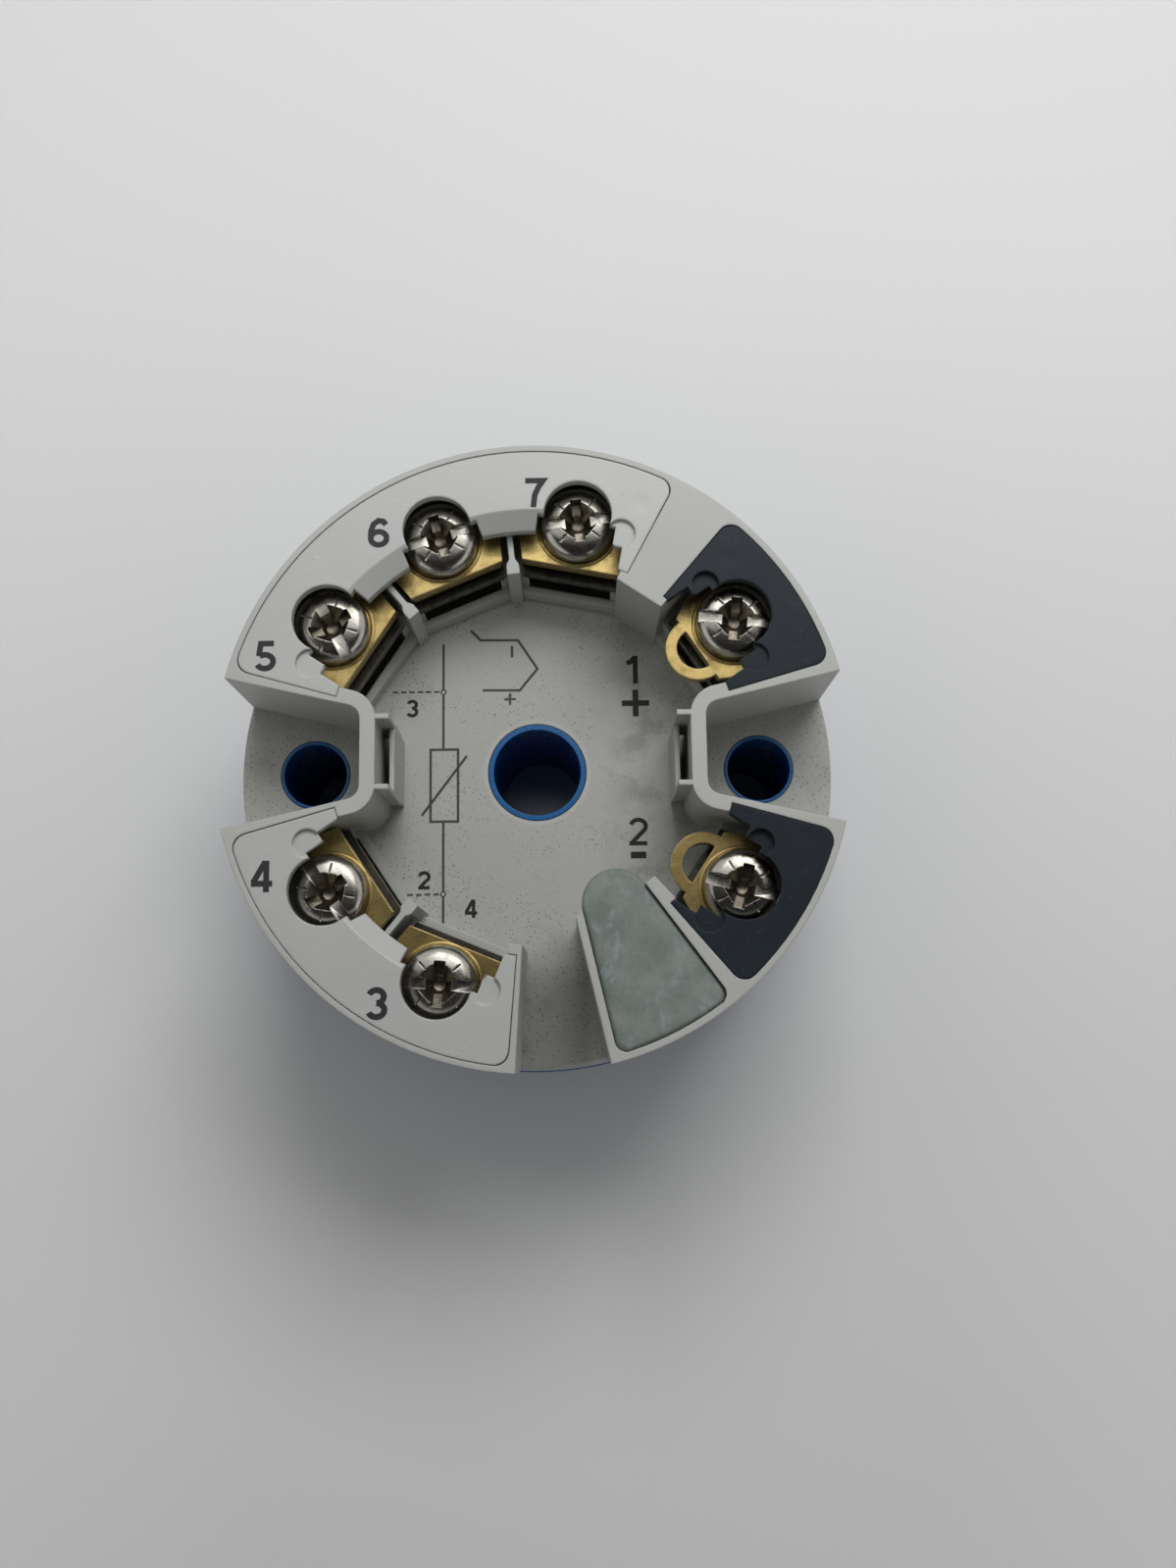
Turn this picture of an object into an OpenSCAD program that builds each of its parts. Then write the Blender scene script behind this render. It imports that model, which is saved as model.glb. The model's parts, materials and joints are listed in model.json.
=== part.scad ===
/* [Overall] */
// Diameter of the blue base cup at its rim
cup_d = 44; // [43.4:0.1:45.4]
// Height of the wiring deck above the resting face
deck_z = 14.8; // [14.6:0.1:15.1]
// Height of the terminal walls above the wiring deck
tower_h = 9.3; // [9:0.1:10.8]
// Distance from the axis of each mounting hole to the edge of the cup
hole_edge = 5.5; // [5.3:0.1:5.7]

/* [Base cup] */
// Clear diameter of each mounting hole
mount_bore_d = 4.66; // [4.3:0.02:4.8]
// Clear diameter of the wire hole in the middle
wire_bore_d = 6.48; // [5.4:0.02:6.8]
// Wall of the tube round the wire hole
wire_tube_wall = 0.38; // [0.3:0.02:0.6]
// Wall of the tube round each mounting hole
mount_tube_wall = 0.22; // [0.2:0.02:0.36]
// Thickness of the cup's floor
cup_floor = 1.2; // [1:0.1:1.4]
// Height of the wide band under the cup's rim
cup_band_h = 2; // [1.6:0.1:2.2]
// How far the cup's side lies inside its band
cup_band_step = 0.5; // [0.3:0.05:0.6]
// Wall of the cup at its rim
cup_wall = 1.05; // [0.95:0.05:1.15]

/* [Top housing] */
// How far the grey housing lies inside the cup's rim
rim_step = 0.12; // [0.06:0.02:0.2]
// Thickness of the deck and of the housing's rim
rim_t = 1.6; // [1.5:0.05:1.8]
// Thickness of the outer wall of the terminal towers
tower_wall = 1; // [0.9:0.05:1.1]
// Thickness of the wall round each mounting notch
notch_wall = 1.05; // [0.95:0.05:1.15]
// Distance from the front of each mounting notch to the axis of its hole
notch_offset = 4.6; // [4.4:0.05:4.7]
// Drop of the ribs between the terminals below the top of the walls
rib_drop = 2.1; // [1.9:0.1:2.5]
// Thickness of the thin part of a rib
rib_t = 0.4; // [0.34:0.02:0.5]
// Thickness of the post at a rib's inner end
post_t = 0.9; // [0.7:0.05:1]
// Height of the low sill in front of a terminal, above the deck
sill_h = 1.5; // [1:0.1:2]
// Depth of the dark well under a terminal, below the deck
well_depth = 3.6; // [3.2:0.1:3.8]

/* [Terminals] */
// Distance from the axis of each terminal screw to the housing's outer face
term_edge = 4.73; // [4.63:0.05:4.88]
// Diameter of a screw's thread
screw_d = 3; // [2.6:0.1:3.1]
// Length of a screw under its head
screw_len = 7; // [6.4:0.1:7.6]
// Diameter of a screw's head
head_d = 5.4; // [5:0.05:5.5]
// Height of a screw's head
head_h = 1.8; // [1.6:0.05:1.9]
// Depth of a screw head's top below the cover plates
head_sink = 1.3; // [1.2:0.05:1.5]
// Thickness of a brass clamp plate
clamp_t = 0.8; // [0.6:0.05:0.9]
// Gap between a clamp plate and its contact bar as delivered
clamp_gap = 1.2; // [1.15:0.05:1.4]
// Height of the lip that is bent down at a clamp plate's inner edge
lip_h = 0.45; // [0.3:0.05:0.45]
// Thickness of a contact bar
bar_t = 0.8; // [0.6:0.05:0.9]

/* [Covers and plug] */
// Thickness of the cover plates
cover_t = 0.8; // [0.7:0.05:0.85]
// Depth of the cover plates' top below the terminal walls
cover_sink = 0.05; // [0.03:0.01:0.08]
// Width of the housing's edge that shows round the white covers
cover_rim = 0.4; // [0.35:0.05:0.5]
// Width of the housing's edge that shows round the dark covers
loop_cover_rim = 0.45; // [0.4:0.05:0.55]
// Drop of the bevelled skirt between two terminals
skirt_drop = 1; // [0.8:0.05:1]
// Thickness of the rubber plug's pad
plug_t = 2.2; // [1.8:0.1:2.6]
// Depth of the plug's pad top below the terminal walls
plug_sink = 0.15; // [0.1:0.05:0.3]

/* [Hidden] */
$fn = 96;

// One overrun serves every cut
over = 0.6;
// Gap between moulded pieces that drop into each other
drop_gap = 0.05;
// Gap between metal pieces that are pressed together
press_gap = 0.02;
// Radial play of a screw in its threaded bush
thread_gap = 0.05;
// Share by which a wedge reaches past the circle that it cuts
wedge_reach_share = 1.3;
wedge_steps = 4;

// Radii of the shells
cup_r = cup_d / 2;
housing_r = cup_r - rim_step;
wall_in_r = housing_r - tower_wall;
cup_rim_in_r = cup_r - cup_wall;
spigot_r = cup_rim_in_r - drop_gap;
cover_r = housing_r - cover_rim - drop_gap;
loop_cover_r = housing_r - loop_cover_rim - drop_gap;
wire_bore_r = wire_bore_d / 2;
wire_tube_r = wire_bore_r + wire_tube_wall;
mount_bore_r = mount_bore_d / 2;
mount_tube_r = mount_bore_r + mount_tube_wall;
mount_x = cup_r - hole_edge;
notch_front = mount_x - notch_offset;
term_r = housing_r - term_edge;

// Heights of the shells
top_z = deck_z + tower_h;
rim_z = deck_z - rim_t;
well_z = deck_z - well_depth;
well_floor_t = 1;
ring_z = well_z - well_floor_t;
cover_top_z = top_z - cover_sink;
cover_z = cover_top_z - cover_t;
rib_z = top_z - rib_drop;

// Heights of the terminal stack
head_top_z = top_z - head_sink;
clamp_top_z = head_top_z - head_h;
clamp_z = clamp_top_z - clamp_t;
bar_top_z = clamp_z - clamp_gap;
bar_z = bar_top_z - bar_t;

// Boards in the cup
board_t = 1;
board_room = 1.6;
step_z = ring_z - board_room;
board_z = step_z - board_t;
potting_h = 2;
potting_z = cup_floor;
power_board_z = potting_z + potting_h;
board_gap = board_z - power_board_z - board_t;

// Terminals 1 to 7, as turns about the vertical axis
term_turn = 33.5;
term_pitch = 33.75;
term_turns = [term_turn, -term_turn, term_turn + term_pitch - 180, term_turn - 180,
    180 - term_turn, 180 - term_turn - term_pitch, 180 - term_turn - 2 * term_pitch];
// Turn of each screw's slot as it lies in its terminal
slot_turns = [-6.5, -16, -5, -55, -62.5, 17, 6];
rib_turns = [180 - term_turn - term_pitch / 2, 180 - term_turn - 3 * term_pitch / 2,
    term_turn + term_pitch / 2 - 180];

function polar(r, a) = [r * cos(a), r * sin(a)];
function turned(p, a) = [p[0] * cos(a) - p[1] * sin(a), p[0] * sin(a) + p[1] * cos(a)];
function reversed(list) = [for (k = [len(list) - 1:-1:0]) list[k]];

// Wedge from the centre between two turns, reaching past radius r
module wedge(a0, a1, r) {
    far = r * wedge_reach_share;
    polygon(concat([[0, 0]], [for (k = [0:wedge_steps]) polar(far, a0 + (a1 - a0) * k / wedge_steps)]));
}

module ring(r0, r1) {
    difference() {
        circle(r1);
        circle(r0);
    }
}

module ring_sector(r0, r1, a0, a1) {
    intersection() {
        ring(r0, r1);
        wedge(a0, a1, r1);
    }
}

// Ring sector with its two outer corners rounded by radius f, each in a few short steps
corner_steps = 6;

function corner_points(r1, a, f, s) =
    let (lean = s * asin(f / (r1 - f)), c = polar(r1 - f, a + lean))
    concat([for (k = [0:corner_steps]) c + polar(f, a - s * 90 + (s * 90 + lean) * k / corner_steps)],
        [polar(r1 * wedge_reach_share, a + lean)]);

module rounded_sector(r0, r1, a0, a1, f) {
    intersection() {
        ring(r0, r1);
        polygon(concat([[0, 0]], corner_points(r1, a0, f, 1), [polar(r1 * wedge_reach_share, (a0 + a1) / 2)],
            reversed(corner_points(r1, a1, f, -1))));
    }
}

module slab(z0, z1) {
    translate([0, 0, z0]) linear_extrude(z1 - z0) children();
}

module tube_wells(grow, z0, z1) {
    slab(z0, z1) {
        circle(wire_tube_r + grow);
        for (s = [-1, 1]) translate([s * mount_x, 0]) circle(mount_tube_r + grow);
    }
}

// Mounting notch seen from above, on the +X side, grown outwards by grow
notch_corner_r = 1;
notch_corner_y = 2.3;
notch_flare = 13;
notch_corner_x = notch_front + notch_corner_r;

module notch_area(grow) {
    r = notch_corner_r + grow;
    side = [notch_corner_x - r * sin(notch_flare), notch_corner_y + r * cos(notch_flare)];
    far = side + polar(cup_r, notch_flare);
    half = [[notch_corner_x - r, notch_corner_y], side, far];
    polygon(concat(half, [for (p = reversed(half)) [p[0], -p[1]]]));
    for (s = [-1, 1]) translate([notch_corner_x, s * notch_corner_y]) circle(r);
}

module both_notches(grow) {
    notch_area(grow);
    mirror([1, 0]) notch_area(grow);
}

// Base cup
cup_taper = 0.4;
cup_foot_round = 1.2;
cup_rim_chamfer = 0.2;
cup_side_r = cup_r - cup_band_step;
cup_foot_r = cup_side_r - cup_taper;
board_seat_w = 0.7;
board_rim_gap = 0.8;
board_r = spigot_r - board_rim_gap;
cavity_r = board_r - board_seat_w + drop_gap;
foot_recess_h = 0.4;
foot_recess_in_share = 0.27;
foot_recess_out_share = 0.84;
foot_land_w = 0.85;
latch_turns = [for (k = [0:3]) 45 + 90 * k];
latch_half_turn = 7;
latch_play_turn = 0.4;
latch_h = 1.1;
latch_depth = 1;
latch_t = 0.65;
latch_top_z = ring_z - drop_gap;

module cup_outline() {
    polygon([[0, 0], [cup_foot_r - cup_foot_round, 0], [cup_foot_r, cup_foot_round],
        [cup_side_r, rim_z - cup_band_h - cup_band_step], [cup_r, rim_z - cup_band_h],
        [cup_r, rim_z - cup_rim_chamfer], [cup_r - cup_rim_chamfer, rim_z], [0, rim_z]]);
    translate([cup_foot_r - cup_foot_round, cup_foot_round]) circle(cup_foot_round);
}

module cup_cavity() {
    slab(cup_floor, step_z + over) circle(cavity_r);
    slab(board_z, ring_z) circle(board_r + drop_gap);
    slab(ring_z - drop_gap, rim_z + over) circle(cup_rim_in_r);
}

module foot_recess() {
    slab(-over, foot_recess_h) difference() {
        ring(cup_r * foot_recess_in_share, cup_r * foot_recess_out_share);
        for (s = [-1, 1]) translate([s * mount_x, 0]) circle(mount_tube_r + foot_land_w);
    }
}

module latch_windows() {
    for (a = latch_turns) slab(latch_top_z - latch_h - drop_gap, latch_top_z + drop_gap)
        ring_sector(cavity_r, cup_r + over, a - latch_half_turn - latch_play_turn,
            a + latch_half_turn + latch_play_turn);
}

module base_cup() {
    color("steelblue") difference() {
        union() {
            difference() {
                rotate_extrude() cup_outline();
                cup_cavity();
                latch_windows();
            }
            tube_wells(0, 0, deck_z);
        }
        foot_recess();
        slab(-over, deck_z + over) {
            circle(wire_bore_r);
            for (s = [-1, 1]) translate([s * mount_x, 0]) circle(mount_bore_r);
        }
    }
}

// Rubber plug, in a frame that runs outwards along its own middle line
plug_turn = -65.45;
plug_shift = 0.625;
plug_root_offset = 6.25;
plug_root = term_r - plug_root_offset;
plug_root_half = 2.09;
plug_flare = 11.6;
plug_nose_offset = 5.25;
plug_nose = term_r - plug_nose_offset;
plug_corner_r = 0.8;
plug_rim = 0.58;
plug_side_gap = 0.1;
plug_wall = 0.53;
plug_wall_lap = 0.3;
plug_wall_start = plug_nose - plug_wall_lap;
plug_r = housing_r - plug_rim;
plug_top_z = top_z - plug_sink;
plug_z = plug_top_z - plug_t;

function plug_half(u) = plug_root_half + (u - plug_root) * tan(plug_flare);
function plug_place(p) = turned([p[0], p[1] + plug_shift], plug_turn);
function plug_side(u, s, grow) = plug_place([u, s * (plug_half(u) + grow / cos(plug_flare))]);
// Distance along the plug at which its side, moved by grow, meets a circle of radius r
function side_meets(s, grow, r) =
    let (b = s * tan(plug_flare), a = plug_shift + s * (plug_half(0) + grow / cos(plug_flare)))
    (sqrt(r * r * (1 + b * b) - a * a) - a * b) / (1 + b * b);

// Plug seen from above, moved inwards by inset on every side
nose_steps = 24;

function plug_corner(s, inset) =
    let (c = plug_side(side_meets(s, -inset - plug_corner_r, plug_r - inset - plug_corner_r), s,
            -inset - plug_corner_r),
        a0 = plug_turn + s * (90 + plug_flare), a1 = atan2(c[1], c[0]))
    let (points = [for (k = [0:corner_steps - 1]) c + polar(plug_corner_r, a0 + (a1 - a0) * k / corner_steps)])
    concat(points, [wedge_reach_share * points[corner_steps - 1]]);

module plug_area(inset) {
    nose_r = plug_half(plug_nose) * cos(plug_flare) - inset;
    nose = plug_place([plug_nose, 0]);
    nose_half_turn = 90 - plug_flare;
    intersection() {
        circle(plug_r - inset);
        polygon(concat([for (k = [0:nose_steps]) nose
            + polar(nose_r, plug_turn + 180 - nose_half_turn + 2 * nose_half_turn * k / nose_steps)],
            plug_corner(-1, inset), reversed(plug_corner(1, inset))));
    }
}

// Service connector under the plug
socket_offset = 1.55;
socket_at = term_r - socket_offset;
socket_l = 7.4;
socket_w = 3;
socket_floor = 1.8;
socket_wall = 0.45;
socket_pin_w = 0.5;
socket_pins = 4;
socket_pin_pitch = 1.6;
tongue_inset = 0.35;
tongue_h = 1.9;
tongue_gap = 0.85;
socket_pin_gap = 1.2;
pedestal_z = plug_z - drop_gap;
socket_z = rim_z;
socket_h = plug_z - tongue_h - tongue_gap - socket_z;
socket_pin_h = socket_h - socket_pin_gap;

module in_socket() {
    translate(plug_place([socket_at, 0])) rotate(plug_turn) children();
}

module socket_area(grow) {
    in_socket() square([socket_l + 2 * grow, socket_w + 2 * grow], center = true);
}

module pin_places() {
    for (k = [0:socket_pins - 1]) translate([(k - (socket_pins - 1) / 2) * socket_pin_pitch, 0]) children();
}

// Channel that stays open between terminal 3 and the plug
end_wall_turn = -93.65;
channel_offset = 5.15;
channel_in = term_r - channel_offset;

module channel_area() {
    polygon([polar(channel_in, end_wall_turn), polar(cup_r * wedge_reach_share, end_wall_turn),
        plug_side(cup_r * wedge_reach_share, -1, plug_side_gap + plug_wall),
        plug_side(channel_in, -1, plug_side_gap + plug_wall)]);
}

// Boundaries of the terminal towers
bridge_turns = [48, 63.7];
bridge_offset = 3.75;
bridge_in = term_r - bridge_offset;
loop_wall_turn = -47.4;
loop_wall_in = channel_in;
end_wall_t = 0.95;
end_wall_offset = 3.8;
end_wall_in = term_r - end_wall_offset;
block_half_turn = term_pitch / 2 + 0.3;
end_block_turn = 17.8;
// Turn by which a base reaches into the wall beside it
wall_bite_turn = 1;
bridge_block_turn = 180 - term_turn - 2 * term_pitch - bridge_turns[1] + wall_bite_turn;
// Turns on the left and right of each terminal that its solid base fills
block_turns = [[-block_half_turn, bridge_turns[0] + wall_bite_turn - term_turn],
    [loop_wall_turn - wall_bite_turn + term_turn, block_half_turn],
    [-block_half_turn, end_block_turn], [-block_half_turn, block_half_turn],
    [-block_half_turn, block_half_turn], [-block_half_turn, block_half_turn],
    [-bridge_block_turn, block_half_turn]];

// Sill and post, in front of the screw's axis
sill_offset = 4.1;
sill_at = term_r - sill_offset;
sill_w = 0.6;
post_offset = 3.95;
post_at = term_r - post_offset;
post_l = 0.7;
post_nose = 0.4;

// Contact bar and clamp plate outlines, along and across the terminal's own line
bar_front_offset = 3.45;
bar_at = term_r - bar_front_offset;
bar_back_offset = 2.35;
bar_end = term_r + bar_back_offset;
clamp_front_offset = 3;
clamp_at = term_r - clamp_front_offset;
clamp_back_offset = 2.15;
clamp_end = term_r + clamp_back_offset;
clamp_flare = term_pitch / 2;
clamp_side_gap = 0.742;
clamp_half = clamp_at * tan(clamp_flare) - clamp_side_gap;
loop_half = 2.7;
shoulder_offset = 1.7;
loop_shoulder = term_r - shoulder_offset;
loop_shoulder_half = 3.45;
loop_flare = 12.5;
loop_out_r = 2.3;
loop_in_r = 1.5;
loop_offset = 3.1;
loop_at = term_r - loop_offset;
loop_bar_half = 3.1;
well_margin = 0.35;
well_back_offset = 2.95;
well_end = term_r + well_back_offset;

function is_loop(i) = i < 2;
function clamp_side(u) = clamp_half + (u - clamp_at) * tan(clamp_flare);
function loop_side(u) = loop_shoulder_half + (u - loop_shoulder) * tan(loop_flare);
function bar_side(i, u) = is_loop(i) ? loop_bar_half + (u - bar_at) * tan(loop_flare) : clamp_side(u);
function both_sides(half) = concat(half, [for (p = reversed(half)) [p[0], -p[1]]]);

module at_term(i) {
    rotate(term_turns[i]) children();
}

// Solid base of a terminal, from the deck to its contact bar, with the dark well in it
module term_base(i) {
    a = block_turns[i];
    slab(rim_z, bar_z) at_term(i) intersection() {
        circle(wall_in_r + drop_gap);
        wedge(a[0], a[1], wall_in_r);
        translate([sill_at + sill_w, -cup_r]) square([cup_r, 2 * cup_r]);
    }
    slab(rim_z, deck_z + sill_h) at_term(i) intersection() {
        wedge(a[0], a[1], wall_in_r);
        translate([sill_at, -cup_r]) square([sill_w + drop_gap, 2 * cup_r]);
    }
}

module term_well(i) {
    slab(well_z, bar_z + over) at_term(i) polygon(both_sides([
        [sill_at + sill_w, bar_side(i, sill_at + sill_w) - well_margin],
        [well_end, bar_side(i, well_end) - well_margin]]));
    slab(ring_z - over, well_z + over) at_term(i) leg_area(drop_gap);
}

// Leg of a contact bar, down through the housing's floor into the main board
leg_offset = 1.25;
leg_at = term_r + leg_offset;
leg_t = 0.6;
leg_w = 1.2;
leg_side = 2.3;
leg_tail = 0.6;

module leg_area(grow) {
    translate([leg_at - grow, leg_side - grow]) square([leg_t + 2 * grow, leg_w + 2 * grow]);
}

module rib(a) {
    slab(rim_z, rib_z) rotate(a) {
        translate([post_at, -rib_t / 2]) square([wall_in_r + drop_gap - post_at, rib_t]);
        polygon(both_sides([[post_at, post_t / 2], [post_at + post_l, post_t / 2],
            [post_at + post_l + post_nose, rib_t / 2]]));
    }
}

module notch_walls() {
    slab(rim_z, top_z) intersection() {
        circle(housing_r);
        both_notches(notch_wall);
    }
}

// Latch loop for a display, on the inner face of each notch wall
clip_half = 2.45;
clip_reach = 0.95;
clip_t = 0.35;
clip_bar_drop = 3.3;
clip_bar_h = tower_h - clip_bar_drop;
clip_foot_h = 2;

module clip_frame() {
    inner_x = notch_front - notch_wall;
    slab(deck_z + clip_foot_h, top_z) for (s = [-1, 1])
        translate([inner_x - clip_reach, s * clip_half - clip_t / 2]) square([clip_reach + drop_gap, clip_t]);
    slab(rim_z, deck_z + clip_bar_h) translate([inner_x - clip_reach, -clip_half])
        square([clip_t, 2 * clip_half]);
}

module bridge() {
    slab(rim_z, top_z) intersection() {
        circle(housing_r);
        polygon([polar(bridge_in, bridge_turns[0]), polar(cup_r * wedge_reach_share, bridge_turns[0]),
            polar(cup_r * wedge_reach_share, bridge_turns[1]), polar(bridge_in, bridge_turns[1])]);
    }
}

module end_wall() {
    slab(rim_z, top_z) intersection() {
        circle(housing_r);
        rotate(end_wall_turn) translate([end_wall_in, -end_wall_t]) square([cup_r, end_wall_t]);
    }
}

module plug_block() {
    far = cup_r * wedge_reach_share;
    slab(rim_z, top_z) intersection() {
        circle(housing_r);
        polygon([plug_side(plug_wall_start, -1, plug_side_gap + plug_wall),
            plug_side(far, -1, plug_side_gap + plug_wall), polar(far, loop_wall_turn),
            polar(loop_wall_in, loop_wall_turn), plug_side(plug_wall_start, 1, plug_side_gap)]);
    }
}

module latches() {
    for (a = latch_turns) {
        slab(latch_top_z - latch_h, ring_z + over) ring_sector(board_r - latch_t, board_r,
            a - latch_half_turn + latch_play_turn, a + latch_half_turn - latch_play_turn);
        slab(latch_top_z - latch_h + drop_gap, latch_top_z) ring_sector(board_r - latch_t / 2,
            board_r + latch_depth, a - latch_half_turn, a + latch_half_turn);
    }
}

// Outer ends of the covers, and the corner rounds of covers and seats
cover_in_offset = 3.05;
cover_in_r = term_r - cover_in_offset;
cover_corner = 1;
cover_turns_567 = [61.8, 164];
cover_turns_34 = [-164, -95.1];
loop_cover_turns = [16.2, 49.3];
seat_play_turn = atan(drop_gap / cover_in_r);

module seat(r1, turns) {
    slab(cover_z, top_z + over)
        rounded_sector(post_at - over, r1 + drop_gap, turns[0] - seat_play_turn, turns[1] + seat_play_turn,
            cover_corner);
}

module cover_seats() {
    difference() {
        union() {
            seat(cover_r, cover_turns_567);
            seat(cover_r, cover_turns_34);
            seat(loop_cover_r, loop_cover_turns);
            mirror([0, 1, 0]) seat(loop_cover_r, loop_cover_turns);
        }
        slab(cover_z - over, top_z + 2 * over) circle(cover_in_r - drop_gap);
    }
}

ring_offset = 4.45;
ring_in = term_r - ring_offset;
deck_edge_round = 0.35;

module top_housing() {
    color("gainsboro") difference() {
        union() {
            slab(rim_z, deck_z - deck_edge_round) circle(housing_r);
            translate([0, 0, deck_z - deck_edge_round])
                cylinder(r1 = housing_r, r2 = housing_r - deck_edge_round, h = deck_edge_round);
            slab(ring_z, rim_z + drop_gap) ring(ring_in, spigot_r);
            slab(rim_z, top_z) difference() {
                ring(wall_in_r, housing_r);
                both_notches(0);
                channel_area();
            }
            for (i = [0:6]) term_base(i);
            for (a = rib_turns) rib(a);
            difference() {
                notch_walls();
                slab(deck_z, top_z + over) both_notches(0);
            }
            clip_frame();
            mirror([1, 0, 0]) clip_frame();
            bridge();
            end_wall();
            plug_block();
            latches();
        }
        slab(deck_z, top_z + over) both_notches(0);
        for (i = [0:6]) term_well(i);
        cover_seats();
        slab(pedestal_z, top_z + over) plug_area(-plug_side_gap);
        tube_wells(drop_gap, ring_z - over, deck_z + over);
        slab(socket_z, top_z) socket_area(drop_gap);
        slab(ring_z - over, deck_z) in_socket() pin_places() square(socket_pin_w + 2 * drop_gap, center = true);
    }
}

// Cover plates
cover_hole_r = 2.4;
cover_gate_half = 2.8;
cover_gate_offset = 0.4;
cover_gate_at = term_r - cover_gate_offset;
cover_mouth_half = 3.5;
cover_mouth_offset = 1.8;
cover_mouth_at = term_r - cover_mouth_offset;
skirt_offset = 1.2;
skirt_in_r = term_r - skirt_offset;
skirt_w = 1.25;
skirt_out_r = skirt_in_r + skirt_w;
dimple_d = 2;
dimple_offset = 0.85;
dimple_at = term_r - dimple_offset;
dimple_side = 3.25;
dimple_depth = 0.3;
pocket_d = 1.9;
pocket_offset = 0.65;
pocket_at = term_r - pocket_offset;
pocket_side = 2.95;
pocket_depth = 0.5;

module term_opening(i) {
    slab(clamp_top_z, top_z + over) at_term(i) {
        translate([term_r, 0]) circle(cover_hole_r);
        translate([0, -cover_gate_half]) square([cover_gate_at, 2 * cover_gate_half]);
        translate([0, -cover_mouth_half]) square([cover_mouth_at, 2 * cover_mouth_half]);
    }
}

// Shallow round sink beside an opening
module dimple(i, s) {
    at_term(i) translate([dimple_at, s * dimple_side, cover_top_z - dimple_depth])
        cylinder(d = dimple_d, h = dimple_depth + over);
}

// Deeper round pocket in a dark cover, open to the screw's hole
module pocket(i) {
    at_term(i) translate([pocket_at, pocket_side, cover_top_z - pocket_depth])
        cylinder(d = pocket_d, h = pocket_depth + over);
}

// Bevelled skirt that joins the flat plate between two neighbouring terminals
module skirt(a0, a1) {
    intersection() {
        rotate_extrude() polygon([[skirt_out_r + over, cover_top_z], [skirt_out_r, cover_top_z],
            [skirt_in_r, cover_top_z - skirt_drop], [skirt_in_r, cover_z - skirt_drop],
            [skirt_out_r - drop_gap, cover_z], [skirt_out_r + over, cover_z]]);
        slab(deck_z, top_z + over) wedge(a0, a1, skirt_out_r);
    }
}

// Sensor cover over terminals first to last, counted by growing turn
module sensor_cover(turns, first, last) {
    difference() {
        union() {
            slab(cover_z, cover_top_z) difference() {
                rounded_sector(cover_in_r, cover_r, turns[0], turns[1], cover_corner);
                intersection() {
                    circle(skirt_out_r);
                    wedge(term_turns[first], term_turns[last], cover_r);
                }
            }
            skirt(term_turns[first], term_turns[last]);
        }
        for (i = [min(first, last):max(first, last)]) term_opening(i);
        dimple(first, -1);
        dimple(last, 1);
    }
}

module cover_plate_567() {
    color("white") sensor_cover(cover_turns_567, 6, 4);
}

module cover_plate_34() {
    color("white") sensor_cover(cover_turns_34, 3, 2);
}

module loop_cover(i) {
    difference() {
        slab(cover_z, cover_top_z) mirror([0, i]) rounded_sector(cover_in_r, loop_cover_r, loop_cover_turns[0],
            loop_cover_turns[1], cover_corner);
        term_opening(i);
        pocket(i);
        dimple(i, -1);
    }
}

module loop_cover_1() {
    color("darkslategray") loop_cover(0);
}

module loop_cover_2() {
    color("darkslategray") loop_cover(1);
}

// Rubber plug with the tongue that grips the connector's mouth
module service_plug() {
    color("darkseagreen") {
        slab(plug_z, plug_top_z) plug_area(0);
        slab(plug_z - tongue_h, plug_z) socket_area(-tongue_inset);
    }
}

module service_connector() {
    color("dimgray") difference() {
        slab(socket_z, socket_z + socket_h) socket_area(0);
        slab(socket_z + socket_floor, socket_z + socket_h + over) socket_area(-socket_wall);
        slab(socket_z - over, socket_z + socket_h) in_socket() pin_places() square(socket_pin_w, center = true);
    }
}

module connector_pins() {
    color("gold") slab(board_z, socket_z + socket_pin_h) in_socket() pin_places()
        square(socket_pin_w - 2 * press_gap, center = true);
}

// Terminal screw
slot_w = 0.85;
slot_depth = 0.75;
cross_l = 3.2;
cross_w = 0.8;
cross_depth = 1.15;
recess_r = 1.42;
recess_tip_r = 0.45;
recess_depth = 1.6;
recess_lean = (recess_r - recess_tip_r) / recess_depth;
tick_w = 0.18;
tick_depth = 0.4;
tick_from = 1.25;
head_round = 1.45;
dome_steps = 10;
tip_chamfer = 0.4;

module screw(i) {
    head_r = head_d / 2;
    thread_r = screw_d / 2;
    at_term(i) translate([term_r, 0, clamp_top_z + press_gap]) rotate(slot_turns[i] - term_turns[i]) difference() {
        union() {
            rotate_extrude() polygon(concat([[0, 0], [head_r, 0]], [for (k = [0:dome_steps])
                [head_r - head_round, head_h - head_round] + polar(head_round, 90 * k / dome_steps)],
                [[0, head_h]]));
            translate([0, 0, tip_chamfer - screw_len]) cylinder(r = thread_r, h = screw_len);
            translate([0, 0, -screw_len])
                cylinder(r1 = thread_r - tip_chamfer, r2 = thread_r, h = tip_chamfer);
        }
        translate([-head_d, -slot_w / 2, head_h - slot_depth]) cube([2 * head_d, slot_w, head_d]);
        translate([-cross_w / 2, -cross_l / 2, head_h - cross_depth]) cube([cross_w, cross_l, head_d]);
        translate([0, 0, head_h - recess_depth])
            cylinder(r1 = recess_tip_r, r2 = recess_r + recess_lean * over, h = recess_depth + over);
        for (a = [45:90:315]) rotate(a) translate([tick_from, -tick_w / 2, head_h - tick_depth])
            cube([head_r - tick_from - head_round / 2, tick_w, head_d]);
    }
}

// Clamp plate: a trapezoid for the sensor terminals, a plate with a test loop for the loop terminals
clamp_hole_play = 0.25;
lip_t = 0.4;
lip_margin = 0.15;

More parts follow.
